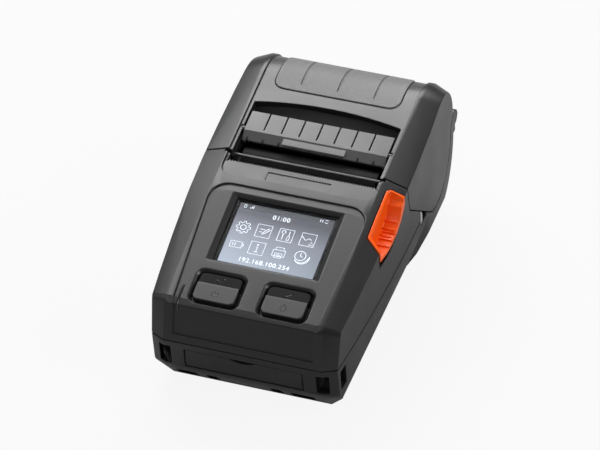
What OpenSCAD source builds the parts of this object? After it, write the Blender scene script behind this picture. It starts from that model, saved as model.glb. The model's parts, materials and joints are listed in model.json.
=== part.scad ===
// Portable label printer with a clamshell lid, for label rolls up to 58 mm wide.
// Sizes run from the front face (Y = 0) to the hinge, and in_frame() centres the whole along Y.
// X is 0 on the middle plane and Z is 0 under the rubber feet.

/* [Body] */
// Widest width across the sides
body_w = 88; // [86:0.5:92]
// Length of the shell, from the front face to the back of the lid
body_l = 151; // [150:0.5:158]
// How far the rubber feet stand out below the shell
foot_h = 0.8; // [0.6:0.1:1.2]
// Wall of the two case shells
wall = 2.2; // [1.8:0.1:2.6]
// Wall of the lid over the roll
lid_wall = 3.2; // [2.8:0.1:3.6]
// Height of the seam between the two case shells
seam_z = 26.7; // [26:0.1:28]
// Gap in the seam, and between the lid and the case
seam_gap = 0.5; // [0.3:0.1:0.8]
// How far the bevel along each side drops from the ridge to the side
edge_drop = 3.6; // [3:0.1:4.4]
// Width of the bevel along each side
edge_w = 10; // [9:0.5:11]
// Radius of the bowed sides, seen from above
side_r = 860; // [700:10:1100]
// Depth of the sunk panel and of the sunk lid top
sunk = 0.8; // [0.5:0.1:1.1]

/* [Top line] */
// Start of the sloped panel, from the front
panel_y = 7; // [6:0.5:8]
// Height where the sloped panel starts
panel_z = 45.5; // [44.5:0.5:46.5]
// Slope of the panel in degrees
panel_tilt = 11.7; // [11:0.1:12.5]
// End of the sloped panel, from the front
panel_end_y = 62; // [61:0.5:64]
// Height of the lid's crown
crown_z = 66; // [65.5:0.25:66.5]
// Slope of the lid's top in degrees
lid_tilt = 7.4; // [7:0.1:8]
// Radius of the lid's rounded back
lid_back_r = 20.5; // [19.5:0.5:22]
// Radius of the rounded back of the case, at the middle
case_back_r = 35.2; // [34.6:0.1:36]

/* [Screen and keys] */
// Width of the screen's lit area
screen_w = 40.8; // [38:0.2:42]
// Height of the screen's lit area
screen_h = 30; // [28:0.2:31]
// Distance of the screen's lower edge up the panel
screen_s = 23.5; // [23:0.1:24]
// Width of a key well
well_w = 19.8; // [19:0.2:20.6]
// Length of a key well up the panel
well_l = 15.6; // [15:0.2:16]
// Distance of the wells' lower edge up the panel
well_s = 0.2; // [0.1:0.1:0.6]
// Place of each well's middle, to the side
well_x = 14.6; // [13.5:0.1:15]
// Travel of a key
key_travel = 0.8; // [0.5:0.1:0.9]
// Gap round a key
key_gap = 1; // [0.8:0.1:1.1]
// Width of the bevel round a key well
well_rim = 1.1; // [0.8:0.1:1.2]

/* [Slot and lid] */
// Half the width of the slot across the top
slot_half = 32; // [31.8:0.1:32.5]
// Front edge of the slot
slot_y = 77; // [76:0.2:77.6]
// Split between the case and the lid
split_y = 83; // [82.8:0.1:84]
// Back edge of the slot at its ends
slot_back_y = 110.5; // [110:0.5:112]
// How far the slot's back edge bows to the rear
slot_bow = 3.4; // [2:0.2:4]
// Height of the hinge pin
hinge_z = 36; // [35.5:0.1:36.5]
// Radius of the hinge pin
hinge_r = 1.25; // [1:0.05:1.5]
// Radius of the hinge lugs and knuckles
lug_r = 3.6; // [3.2:0.1:3.8]

/* [Platen and gears] */
// Place of the platen's axis, from the front
platen_y = 88; // [87.5:0.1:88.5]
// Height of the platen's axis
platen_z = 49.5; // [49:0.1:50]
// Radius of the rubber on the platen
platen_r = 6; // [5.8:0.05:6.1]
// Radius of the platen's shaft
platen_shaft_r = 2; // [1.8:0.05:2.2]
// Module of the gears
gear_m = 0.6; // [0.6:0.05:0.65]
// Teeth on the platen's gear
platen_teeth = 20; // [20:1:21]
// Teeth on the idler gear
idler_teeth = 24; // [23:1:24]
// Teeth on the motor's pinion
pinion_teeth = 12; // [12:1:13]
// Clearance round a turning shaft
run_gap = 0.05; // [0.03:0.01:0.08]

/* [Roll bay] */
// Radius of the largest roll of labels
roll_r = 25; // [24:0.5:25]
// Width of the widest labels
label_w = 58; // [56:1:58]
// Place of the roll's axis, from the front
roll_y = 119; // [118.5:0.1:119.2]
// Height of the roll's axis
roll_z = 34; // [33.8:0.1:34.4]
// Teeth on the pinion between the two label guides
guide_teeth = 10; // [10:1:11]
// Module of the guides' pinion and racks
guide_m = 0.8; // [0.8:0.05:0.85]

/* [Battery] */
// Width of the battery pack
battery_w = 54; // [50:1:54]
// Length of the battery pack
battery_l = 66; // [60:1:66]
// Height of the battery pack
battery_h = 17.5; // [16:0.5:17.5]

/* [Fixings] */
// Radius of the case screws' shanks
screw_r = 1.25; // [1:0.05:1.4]
// Radius of the threads under the base for a belt clip
clip_r = 1.25; // [1.25:0.05:1.6]
// Distance between the threads for a belt clip
clip_pitch = 28; // [26:1:30]

/* [Hidden] */

charcoal = "#3a3a3c";
soft_black = "#242426";
steel = "#b9bcc0";
board_green = "#2f6b46";
round_n = 48;
arc_n = 9;

// The shell
half_w = body_w/2;
ridge_x = half_w - edge_w;
bow_y = 86;
front_rake_y = 8.5;
front_bevel_z = 10.5;
back_z = 36;
crown_y = body_l - lid_back_r;
deck_y = 80;
panel_end_z = panel_z + (panel_end_y - panel_y)*tan(panel_tilt);
total_l = body_l + 1.5 + lug_r;
hinge_y = body_l + 1.5;

// The keys and the screen, up the panel from its start
key_split = 9.4;
key_r = 2.6;
key_seam = 0.3;
mat_half = well_x + well_w/2 + 1.9;
light_x = well_x + well_w/2 + 4;
panel_half = half_w - 14;
panel_half_top = half_w - 10.4;
panel_top_y = 65.5;
lens_n = -2.3;
lens_border = 0.9;
lens_t = 0.9;
gasket_t = 0.6;
lcd_t = 3;
screen_frame_side = 3.9;
screen_frame_end = 2.5;

// Stations to the side: peeler, cheeks of the lid frame, latch hooks, lever pocket
peeler_half = slot_half - 0.8;
cheek_in = slot_half - 0.4;
cheek_out = cheek_in + 1.4;
platen_half = cheek_in - 2.1;
hook_in = cheek_out + 0.4;
hook_out = hook_in + 1.2;
pocket_in = hook_out + 0.4;
lever_in = pocket_in + 1.7;
gear_plate_x = -hook_out - 0.4;
gear_plate_t = 1.2;
gear_x = gear_plate_x - gear_plate_t - 3.5;
gear_t = 3;

// The latch and its lever
latch_y = 77;
latch_z = 51.9;
latch_r = 1.3;
lever_turn = 5.5;
stud_y = 84.5;
stud_z = 55.2;
stud_r = 1.1;
hook_gap = 0.3;

// The peeler
peeler_y = 96.5;
peeler_z = crown_at(peeler_y) - 2.156;
peeler_pin_r = 1.1;
peel_roller_y = 93.2;
peel_roller_z = peeler_z - 2.5;
peel_roller_r = 1.1;
peel_bar_y = 84.2;
peel_bar_z = 56;
peel_bar_r = 0.7;

// The side below the seam leans in, more in front of the roll bay than beside it
flank = [[half_w, 25], [half_w - 0.8, 17.5], [half_w - 4.6, 6.6], [half_w - 9, 0.8]];

// The gear train
gear_play = 0.12;
platen_pr = gear_m*platen_teeth/2;
idler_pr = gear_m*idler_teeth/2;
pinion_pr = gear_m*pinion_teeth/2;
idler_drop = 78.2;
idler_y = platen_y - (platen_pr + idler_pr + gear_play)*cos(idler_drop);
idler_z = platen_z - (platen_pr + idler_pr + gear_play)*sin(idler_drop);
motor_drop = 31.5;
motor_y = idler_y - (idler_pr + pinion_pr + gear_play)*cos(motor_drop);
motor_z = idler_z - (idler_pr + pinion_pr + gear_play)*sin(motor_drop);
motor_r = 9;

// The roll bay
bay_r = roll_r + 0.6;
bay_wall = 1.2;
bay_half = label_w/2 + 2.2;
guide_pr = guide_m*guide_teeth/2;
guide_t = 1.4;
guide_x = label_w/2 + 0.5;
guide_travel = 14;
rack_z = 4.8;
rack_t = 2.1;
rack_y = guide_pr + 0.12;
rack_back = 2.6;

// The boards and the chassis of the print head
board_z = 26;
chassis_z = 40.4;

// The battery
battery_y = 24;
battery_top = foot_h + battery_h;
bay_gap = 0.3;
bay_skin = 1.6;

// Middle of each strap eyelet
eyelet_x = half_w - 10.2;

// The port bay
port_half = 25.4;
port_low = 13.5;
port_high = 23.3;
port_depth = 13.5;

// Middle of each hinge notch
notch_x = half_w - 15.9;

// Screws
screw_at = [for (y = [19, 62], s = [-1, 1]) [s*(half_w - (y < 40 ? 13 : 11)), y]];
screw_top = 38;
boss_r = 2.8;
foot_at = [for (y = [15, roll_y - 15], s = [-1, 1]) [s*(half_w - 19), y]];
clip_y = roll_y - 18;
catch_y = roll_y - 22;
lid_screw_at = [for (s = [-1, 1]) [s*(half_w - 7.5), 101]];

function arc_pts(c, r, a0, a1, n) =
    [for (i = [0:n]) let (a = a0 + (a1 - a0)*i/n) [c[0] + r*cos(a), c[1] + r*sin(a)]];
function side_of(a, b) = let (u = (b - a)/norm(b - a)) [-u[1], u[0]];
// An outline, anticlockwise, drawn in by d all round
function inset(p, d) = let (n = len(p)) [for (i = [0:n - 1])
    let (u = side_of(p[(i + n - 1)%n], p[i]), v = side_of(p[i], p[(i + 1)%n]))
    p[i] + d*(u + v)/(1 + u*v)];
// A rectangle from a to b with corners of radius r
function round_rect(a, b, r) = concat(
    arc_pts([b[0] - r, a[1] + r], r, -90, 0, 5), arc_pts([b[0] - r, b[1] - r], r, 0, 90, 5),
    arc_pts([a[0] + r, b[1] - r], r, 90, 180, 5), arc_pts([a[0] + r, a[1] + r], r, 180, 270, 5));
// The line from the back of the crown forward to the end of the panel falls at lid_tilt
function crown_at(y) = let (p = [crown_y, crown_z - lid_back_r] + lid_back_r*[-sin(lid_tilt), cos(lid_tilt)])
    p[1] - (p[0] - y)*tan(lid_tilt);

// The body's side view, from the bottom front round: drop lowers the top and the back, rise lifts
// the bottom and back_r is the radius of the case's rounded back
function side_view(drop, rise, back_r) =
    let (low = foot_h + rise, bc = [body_l - drop - back_r, back_z], f = 1.3*drop)
    concat(
        [[front_rake_y + f, low]],
        arc_pts(bc, back_r, low <= back_z - back_r ? -90 : asin((low - back_z)/back_r), 0, arc_n),
        arc_pts([crown_y, crown_z - lid_back_r], lid_back_r - drop, 0, 90 + lid_tilt, arc_n),
        [[deck_y, crown_at(deck_y) - drop], [panel_end_y, panel_end_z - drop], [panel_y + f*0.5, panel_z - drop],
         [panel_y - 2.4 + f*0.8, panel_z - 2.1 - drop], [f, seam_z]],
        low < front_bevel_z ? [[0.6 + f, 13], [1.5 + f, front_bevel_z]] : [[0.6 + f, low]]);
function plan_view(d) =
    let (c = side_r - half_w, a0 = -asin(bow_y/side_r), a1 = asin((total_l - bow_y)/side_r))
    concat(arc_pts([-c, bow_y], side_r - d, a0, a1, 8), arc_pts([c, bow_y], side_r - d, 180 - a1, 180 - a0, 8));

// Involute gear outline: m module, z teeth, thin the play taken off each tooth's width
function flank(rb, r, t0) = let (b = sqrt(max(0, r*r/(rb*rb) - 1))) t0 - (b*180/PI - atan(b));
function gear_pts(m, z, thin) =
    let (rp = m*z/2, rb = rp*cos(20), ra = rp + m*0.95, rf = rp - m*1.2,
         inv = tan(20)*180/PI - 20,
         t0 = 90/z - thin/rp*90/PI + inv,
         rs = [max(rb, rf + 0.05), (max(rb, rf) + ra)/2, ra])
    [for (k = [0:z - 1]) let (a = 360*k/z) each concat(
        [[rf*cos(a - t0 - 0.4), rf*sin(a - t0 - 0.4)]],
        [for (r = rs) let (t = flank(rb, r, t0)) [r*cos(a - t), r*sin(a - t)]],
        [for (i = [2:-1:0]) let (r = rs[i], t = flank(rb, r, t0)) [r*cos(a + t), r*sin(a + t)]],
        [[rf*cos(a + t0 + 0.4), rf*sin(a + t0 + 0.4)]])];

module in_frame() {
    translate([0, -total_l/2, 0]) children();
}
// A side-view outline swept across from x0 to x1
module across(x0, x1) {
    translate([x0, 0, 0]) rotate([90, 0, 90]) linear_extrude(x1 - x0) children();
}
// The same outline at the left and at the right, between a and b from the middle
module both_sides(a, b) {
    across(a, b) children();
    across(-b, -a) children();
}
// A round bar along X
module bar_x(x0, x1, y, z, r) {
    translate([x0, y, z]) rotate([0, 90, 0]) cylinder(h = x1 - x0, r = r, $fn = round_n);
}
// A round bar up Z
module bar_z(p, z0, z1, r) {
    translate([p[0], p[1], z0]) cylinder(h = z1 - z0, r = r, $fn = round_n);
}
module box(a, b) {
    translate(a) cube(b - a);
}
// Coordinates of the sloped panel: x across, y up the slope, z out of its face
module on_panel() {
    translate([0, panel_y, panel_z]) rotate([panel_tilt, 0, 0]) children();
}

// The whole outside of the body, drawn in by d, and by side at the sides
module envelope(d = 0, side = -1) {
    rings = [[ridge_x, 0, 0, case_back_r], [half_w - 3, edge_drop*0.7, 5.5, case_back_r - 4],
             [half_w, edge_drop, 11.5, case_back_r - 7]];
    tail = side_view(0, 0, case_back_r);
    difference() {
        intersection() {
            hull() {
                for (r = rings)
                    across(-r[0] + 0.3*d, r[0] - 0.3*d) polygon(inset(side_view(r[1], r[2], r[3]), d));
                // The ridges spread a little towards the back
                across(-ridge_x - 1.6 + 0.3*d, ridge_x + 1.6 - 0.3*d)
                    polygon(inset([for (p = tail) if (p[0] > crown_y - 4) p], d));
            }
            linear_extrude(crown_z + 5) polygon(plan_view(side < 0 ? d : side));
        }
        for (s = [-1, 1]) flank_cut(s, side < 0 ? d : side);
    }
}
// The wedge that leans the side in below the seam, up to the roll bay; its ends follow the wall too
module flank_cut(s, d) {
    intersection() {
        translate([0, roll_y - 11, 0]) rotate([90, 0, 0]) linear_extrude(roll_y)
            polygon(concat([for (p = flank) [s*(p[0] - d*0.9), p[1] + (p[1] < 20 ? d*0.4 : 0)]],
                [[s*(half_w - 14 - d*0.9), -8], [s*60, -8], [s*60, 25]]));
        linear_extrude(60) polygon([[s*(half_w - 19), -3], [s*60, -3], [s*60, 180],
            [s*(half_w - 0.8 - 1.15*d), roll_y - 15 + 0.4*d],
            [s*(half_w - 5 - 1.15*d), roll_y - 27 + 0.4*d], [s*(half_w - 19), roll_y - 39 + 2*d]]);
    }
}

// The lid's outline in side view, moved out by g
function lid_outline(g) = inset(concat(
    [[split_y, crown_z + 5], [split_y, 57], [split_y + 1.4, 43.8], [roll_y - 10.6, 21.8]],
    arc_pts([roll_y + 2, 39], 22.5, 250, 355, arc_n),
    [[body_l - 3, 42], [body_l + 1, 42], [body_l + 1, crown_z + 5]]), -g);

// A helical spring along Z with its first coil's middle at the origin
module coil(r, wire, pitch, turns) {
    per = 8;
    sides = 6;
    n = turns*per;
    pts = [for (i = [0:n], j = [0:sides - 1])
        let (t = 360*i/per, u = 360*j/sides, q = r + wire/2*cos(u))
        [q*cos(t), q*sin(t), pitch*i/per + wire/2*sin(u)]];
    skin = [for (i = [0:n - 1], j = [0:sides - 1]) let (k = (j + 1)%sides)
        each [[i*sides + j, i*sides + k, (i + 1)*sides + k],
              [i*sides + j, (i + 1)*sides + k, (i + 1)*sides + j]]];
    ends = [[for (j = [sides - 1:-1:0]) j], [for (j = [0:sides - 1]) n*sides + j]];
    echo(str("least gap between turns of a spring: ", pitch - wire));
    polyhedron(points = pts, faces = concat(skin, ends), convexity = 6);
}

// Where the case ends and the lid begins, seam to seam
module case_part(low) {
    difference() {
        if (low) union() {
            box([-60, -5, -1], [60, total_l, seam_z - seam_gap/2]);
            box([-60, roll_y + 11, -1], [60, total_l, 50]);
        } else {
            box([-60, -5, seam_z + seam_gap/2], [60, roll_y + 6, crown_z + 5]);
        }
        across(-60, 60) polygon(lid_outline(seam_gap));
    }
}

module lower_case() color(charcoal) in_frame() {
    lug = [half_w - 7.7, half_w - 3];
    difference() {
        union() {
            difference() {
                intersection() {
                    envelope();
                    case_part(true);
                }
                envelope(wall);
            }
            intersection() {
                envelope(0.4);
                lower_inside();
            }
            // Lip that laps the seam from inside
            difference() {
                union() {
                    seam_plan(wall - 0.3, seam_z - 3, seam_z - seam_gap/2);
                    seam_plan(wall + 0.15, seam_z - 1, seam_z + 1.6, 0.8);
                }
                seam_plan(wall + 1.7, 0, 60);
                box([-60, 79, 0], [60, 200, 60]);
            }
            for (s = [-1, 1]) hinge_lug(s*(lug[0] + lug[1])/2, lug[1] - lug[0]);
            hinge_lug(0, 16);
        }
        lower_cuts();
    }
}
// The body's plan at the seam, drawn in by d, from z0 to z1, with its front moved back
module seam_plan(d, z0, z1, back = 0) {
    f = 1.3*edge_drop;
    intersection() {
        translate([0, 0, z0]) linear_extrude(z1 - z0) polygon(plan_view(d));
        translate([0, back, z0]) linear_extrude(z1 - z0) polygon(inset([[-ridge_x, 0], [ridge_x, 0],
            [half_w - 3, f*0.7], [half_w, f], [half_w + 6, f + 3], [half_w + 6, 180], [-half_w - 6, 180],
            [-half_w - 6, f + 3], [-half_w, f], [-half_w + 3, f*0.7]], d));
    }
}
module hinge_lug(x, w) {
    intersection() {
        union() {
            bar_x(x - w/2, x + w/2, hinge_y, hinge_z, lug_r);
            box([x - w/2, body_l - 5, hinge_z - lug_r - 3], [x + w/2, hinge_y, hinge_z + lug_r]);
        }
        across(-60, 60) polygon([[body_l - 3.4, 24], [total_l, 34], [total_l, 50], [body_l - 3.4, 50]]);
    }
}
// What stands inside the bottom shell: battery bay, port bay, eyelet blocks, bosses and rails
module lower_inside() {
    bw = battery_w/2 + bay_gap;
    by = [battery_y - bay_gap, battery_y + battery_l + bay_gap];
    box([-bw - bay_skin, by[0] - bay_skin, 0], [bw + bay_skin, by[1] + bay_skin, battery_top + bay_gap + bay_skin]);
    box([-port_half - 2.4, 0, port_low - 1.8], [port_half + 2.4, port_depth + 1.4, port_high + 1.6]);
    for (s = [-1, 1]) box([s*(half_w - 7) - 7.5, -2, 5], [s*(half_w - 7) + 7.5, 12.6, 26.2]);
    for (p = screw_at) bar_z(p, 0, seam_z - 0.6, boss_r);
    for (s = [-1, 1]) bar_z([s*clip_pitch/2, clip_y], 0, 6.4, 4);
    // Seat of the gear plate and of the motor
    box([gear_plate_x - gear_plate_t, motor_y - 7, 1], [gear_plate_x, motor_y + 7, motor_z - motor_r - 0.6]);
    // Posts of the print chassis and of the main board
    for (p = [[1, 71], [1, 88.6], [-1, 88.6]]) bar_z([p[0]*(cheek_in - 0.6), p[1]], 0, chassis_z - 0.1, 1.8);
    for (x = [-24, 24], y = [30, 54]) bar_z([x, y], battery_top, board_z - 0.1, 1.8);
    // Rails and stud of the label guides, and posts under the roll bay
    for (s = [-1, 1]) {
        box([-bay_half, min(s*(rack_y + 1), s*(rack_y + rack_back + 1.2)) + roll_y, 0],
            [bay_half, max(s*(rack_y + 1), s*(rack_y + rack_back + 1.2)) + roll_y, rack_z - 0.1]);
        box([-bay_half, min(s*(rack_y + rack_back + 0.15), s*(rack_y + rack_back + 1.2)) + roll_y, 0],
            [bay_half, max(s*(rack_y + rack_back + 0.15), s*(rack_y + rack_back + 1.2)) + roll_y, rack_z + rack_t]);
    }
    bar_z([0, roll_y], 0, rack_z + rack_t - 0.2, 1.5);
    for (s = [-1, 1], y = [roll_y - 14, roll_y + 14])
        box([s*(bay_half - 3) - 2, y - 1.5, 0],
            [s*(bay_half - 3) + 2, y + 1.5, roll_z - sqrt(pow(bay_r + bay_wall, 2) - 145)]);
    // Wall behind the hinge notches
    box([7.8 - half_w, body_l - 4.8, 20], [half_w - 7.8, body_l - 2.7, hinge_z + 5.2]);
}
module lower_cuts() {
    bw = battery_w/2 + bay_gap;
    // Battery bay, open below, and the latch's slot behind it
    box([-bw, battery_y - bay_gap, -1], [bw, battery_y + battery_l + bay_gap, battery_top + bay_gap]);
    box([-6.2, battery_y + battery_l - 1, -1], [6.2, battery_y + battery_l + 9.2, foot_h + 2.6]);
    // Port bay behind the front flap, with a hole for each socket and for the flap's pins
    box([-port_half, -5, port_low], [port_half, 2.6, port_high]);
    box([-port_half + 2.2, -5, port_low + 0.4], [port_half - 2.2, port_depth, port_high - 0.4]);
    box([-16.2, 5, 15.8], [-6.8, 20, 19.8]);
    box([3.8, 5, 14.3], [13.2, 20, 22.2]);
    bar_x(-port_half - 1.6, port_half + 1.6, 1.5, port_low + 0.9, 0.75);
    // Strap eyelets: a way in from the front and one from the side, round a corner post
    for (s = [-1, 1]) {
        box([s*eyelet_x - 2.6, -5, 13.8], [s*eyelet_x + 2.6, 10.4, 23.6]);
        box([s > 0 ? eyelet_x - 2.6 : -60, 5.2, 13.8], [s > 0 ? 60 : 2.6 - eyelet_x, 10.4, 23.6]);
    }
    // Slots along the lower front edge
    for (x = [[-31, -22.2], [-18, -13], [9.5, 14.6], [18.4, 28.6]])
        across(x[0], x[1]) polygon([[-1, 8.7], [4.4, 8.7], [8.6, 2.9], [-1, 2.9]]);
    for (p = screw_at) {
        bar_z(p, -1, 60, screw_r + 0.25);
        bar_z(p, -1, 7, 2.5);
    }
    for (p = foot_at) bar_z(p, -1, foot_h + 0.4, 3.1);
    for (s = [-1, 1]) bar_z([s*clip_pitch/2, clip_y], -1, foot_h + 4.6, 2.6);
    // Hinge: blind bore for the pin, and notches for the lid's knuckles and springs
    bar_x(4 - half_w, half_w - 4, hinge_y, hinge_z, hinge_r);
    for (s = [-1, 1]) {
        box([s*notch_x - 8.1, body_l - 2.6, hinge_z - lug_r - 0.5], [s*notch_x + 8.1, total_l + 1, 50]);
        bar_x(s*notch_x - 8.1, s*notch_x + 8.1, hinge_y, hinge_z, lug_r + 0.5);
    }
    // Slot beside the grey catch at the end of the right seam
    box([half_w - 3.6, catch_y, seam_z - 3], [60, catch_y + 7.4, 60]);
}

module upper_case() color(charcoal) in_frame() {
    difference() {
        union() {
            difference() {
                intersection() {
                    envelope();
                    case_part(false);
                }
                envelope(wall);
            }
            intersection() {
                envelope(0.4);
                case_part(false);
                union() {
                    upper_inside();
                    lever_space(1.4);
                }
            }
        }
        // Sunk panel and sunk top
        difference() {
            union() {
                box([-60, -5, 30], [60, 1, 40]);
                linear_extrude(crown_z) polygon(panel_outline());
                linear_extrude(crown_z) polygon(deck_outline(0));
            }
            box([-60, -5, 0], [-panel_half, 5, 60]);
            box([panel_half, -5, 0], [60, 5, 60]);
            box([-60, -5, 0], [60, 20, 30]);
            envelope(sunk);
        }
        upper_cuts();
        lever_space(0);
    }
}
function panel_outline() = concat(
    [[-panel_half, -4], [panel_half, -4]],
    arc_pts([panel_half_top - 8, panel_top_y - 8], 8, 0, 90, 5),
    arc_pts([-panel_half_top + 8, panel_top_y - 8], 8, 90, 180, 5));
// The sunk top, from the tear bar to the back of the lid
function deck_outline(g) = let (h = slot_half + 1.4 + g) concat(
    [[h, total_l], [-h, total_l]],
    arc_pts([-h + 5, slot_y - 2.3 + g], 5 + g, 180, 270, 5),
    arc_pts([h - 5, slot_y - 2.3 + g], 5 + g, 270, 360, 5));
module upper_inside() {
    // Frame under the screen opening, key well walls, screw bosses
    on_panel() {
        box([-screen_w/2 - 4.6, screen_s - 3.4, lens_n], [screen_w/2 + 4.6, screen_s + screen_h + 4, -1]);
        for (s = [-1, 1]) translate([0, 0, -3]) linear_extrude(2)
            polygon(round_rect([s*well_x - well_w/2 - 1.2, well_s - 1.2],
                [s*well_x + well_w/2 + 1.2, well_s + well_l + 1.2], key_r + 1));
    }
    for (p = screw_at) bar_z(p, seam_z, crown_z, boss_r);
    // Ledge under the tear bar
    rise = (crown_at(deck_y) - panel_end_z)/(deck_y - panel_end_y);
    ledge = [[64, 1.9], [64, 4.4], [slot_y - 1.6, 4.4], [slot_y - 1.6, 2.65], [69.2, 2.65], [69.2, 1.9]];
    across(-slot_half - 2, slot_half + 2)
        polygon([for (q = ledge) [q[0], panel_end_z + (q[0] - panel_end_y)*rise - q[1]]]);
}
// The screen opening in section, from a to b: by low wider at the lens and by high at the panel
function opening(a, b, low, high) = [[a - low, lens_n - 0.5], [b + low, lens_n - 0.5],
    [b + low, lens_n - 0.4], [b + high, 0.05 - sunk], [b + high, 1], [a - high, 1], [a - high, 0.05 - sunk],
    [a - low, lens_n - 0.4]];
module upper_cuts() {
    // Screen opening: a bevelled frame down to the lens
    on_panel() {
        intersection() {
            translate([0, 100, 0]) rotate([90, 0, 0]) linear_extrude(200)
                polygon(opening(-screen_w/2, screen_w/2, lens_border, screen_frame_side));
            across(-60, 60) polygon(opening(screen_s, screen_s + screen_h, lens_border/2, screen_frame_end));
        }
        box([-screen_w/2 - 2.2, screen_s - 1.8, lens_n - 1], [screen_w/2 + 2.2, screen_s + screen_h + 1.8, lens_n]);
        for (s = [-1, 1]) {
            translate([0, 0, -6]) linear_extrude(8)
                polygon(round_rect([s*well_x - well_w/2, well_s], [s*well_x + well_w/2, well_s + well_l], key_r));
                translate([s*well_x, well_s + well_l/2, -sunk - well_rim]) well_bevel();
        }
    }
    across(-light_x - 0.45, -light_x + 0.45) polygon([[-5, 39.9], [13.9, 39.9], [13.9, 60], [-5, 60]]);
    // Pocket of the tear bar, and the slot behind it
    difference() {
        linear_extrude(crown_z) polygon(inset(tear_outline(), -0.15));
        envelope(sunk + 1.75);
    }
    box([-slot_half - 0.2, slot_y - 0.1, 45], [slot_half + 0.2, split_y + 10, 80]);
    box([-hook_out - 0.3, slot_y + 4.2, 45], [hook_out + 0.3, split_y + 10, 80]);
    for (p = screw_at) bar_z(p, 20, screw_top + 0.5, screw_r);
    bar_x(pocket_in - 1, lever_in + 1, latch_y, latch_z, latch_r + 0.15);
    box([half_w - 3.6, catch_y, 20], [60, catch_y + 7.4, 60]);
}
// A solid that widens by well_rim over its height of 2*well_rim
module well_bevel() {
    a = [well_w/2, well_l/2];
    hull() {
        translate([0, 0, -0.1]) linear_extrude(0.1) polygon(round_rect(-a, a, key_r));
        translate([0, 0, 2*well_rim]) linear_extrude(0.1)
            polygon(round_rect(-a - 2*well_rim*[1, 1], a + 2*well_rim*[1, 1], key_r + 2*well_rim));
    }
}
function tear_outline() = let (h = slot_half + 1.2) concat(
    [[h, slot_y], [-h, slot_y]],
    arc_pts([-h + 4.8, slot_y - 2.4], 4.8, 180, 270, 5),
    arc_pts([h - 4.8, slot_y - 2.4], 4.8, 270, 360, 5));

// The release lever's outlines from above and from the side
function lever_plan() =
    [[lever_in, 52.8], [60, 36.8], [60, 78.8], [lever_in + 1.5, 78.8], [lever_in, 77.3]];
lever_side = [[80, 70], [44, 70], [44, 46.6], [48.4, 46.1], [56, 44.4], [62, 44.3], [67.8, 45.2],
    [73.5, 47.6], [77.5, 50.4], [80, 53.6]];
// Its lower outline when it is pressed
pressed = [for (p = [for (i = [3:9]) lever_side[i] - [latch_y, latch_z]])
    [latch_y + p[0]*cos(lever_turn) - p[1]*sin(lever_turn),
     latch_z + p[0]*sin(lever_turn) + p[1]*cos(lever_turn) - 0.35]];
// The space it moves in, grown by g
module lever_space(g) {
    intersection() {
        translate([0, 0, 30]) linear_extrude(40) polygon(inset(lever_plan(), -0.35 - g));
        across(lever_in - 0.35 - g, 60) polygon(inset(concat([[81, 70], [46.4, 70], [46.4, 41.2]], pressed,
            [[81, 54]]), -g));
    }
}
module release_lever() color("#ff6a1a") in_frame() {
    difference() {
        intersection() {
            envelope(-0.3);
            translate([0, 0, 30]) linear_extrude(40) polygon(lever_plan());
            across(lever_in, 60) polygon(lever_side);
        }
        // Scoop for the thumb, with three steps in its floor
        intersection() {
            translate([0, 0, 30]) linear_extrude(40) polygon([[lever_in + 1.2, 53.6], [60, 38.2], [60, 77.8],
                [lever_in + 2, 77.8], [lever_in + 1.2, 77]]);
            across(lever_in, 60) polygon([[79, 70], [40, 70], [40, 48.6], [49.6, 47.1], [58.2, 45.5],
                [58.2, 46.2], [61.9, 45.7], [61.9, 46.5], [65.6, 46.3], [65.6, 47], [69.5, 48.2],
                [72.4, 50.4], [74.6, 53.8], [76.6, 54.6], [78.4, 57.6]]);
        }
        bar_x(lever_in - 1, lever_in + 1.2, latch_y, latch_z, latch_r);
    }
}

module latch_shaft() color(steel) in_frame() {
    bar_x(-hook_out - 0.2, lever_in + 1.2, latch_y, latch_z, latch_r);
}
// The hooks stand a little clear of the two studs on the lid
module latch_hooks() color(steel) in_frame() difference() {
    both_sides(hook_in, hook_out) polygon(concat(arc_pts([latch_y, latch_z], 2.7, 75, 285, 14),
        [[82.4, 52], [82.6, 53.2], [82.7, 54], [83, 55.2], [83.1, 55.8], [81.4, 56], [79.4, 55.2]]));
    bar_x(-60, 60, latch_y, latch_z, latch_r);
}
module latch_spring() color(steel) in_frame() {
    translate([slot_half - 11, latch_y, latch_z]) rotate([0, 90, 0]) coil(1.65, 0.5, 1.1, 6);
}

module tear_bar() color("#4b4b4e") in_frame() {
    teeth = 53;
    pitch = 2*slot_half/teeth;
    difference() {
        intersection() {
            difference() {
                envelope(sunk);
                envelope(sunk + 1.7);
            }
            union() {
                translate([0, 0, 45]) linear_extrude(crown_z) polygon(tear_outline());
                // Serrated edge along the slot
                translate([0, 0, 45]) linear_extrude(crown_z) polygon(concat([[-slot_half, slot_y - 0.5]],
                    [for (i = [0:teeth - 1], q = [[0, 0], [0.5, 1]])
                        [-slot_half + (i + q[0])*pitch, slot_y + q[1]]],
                    [[slot_half, slot_y], [slot_half, slot_y - 0.5]]));
            }
        }
        // Bare sunk place for a name plate
        difference() {
            box([-13.7, 71, 40], [13.7, 75.2, 80]);
            envelope(sunk + 0.35);
        }
    }
}

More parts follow.
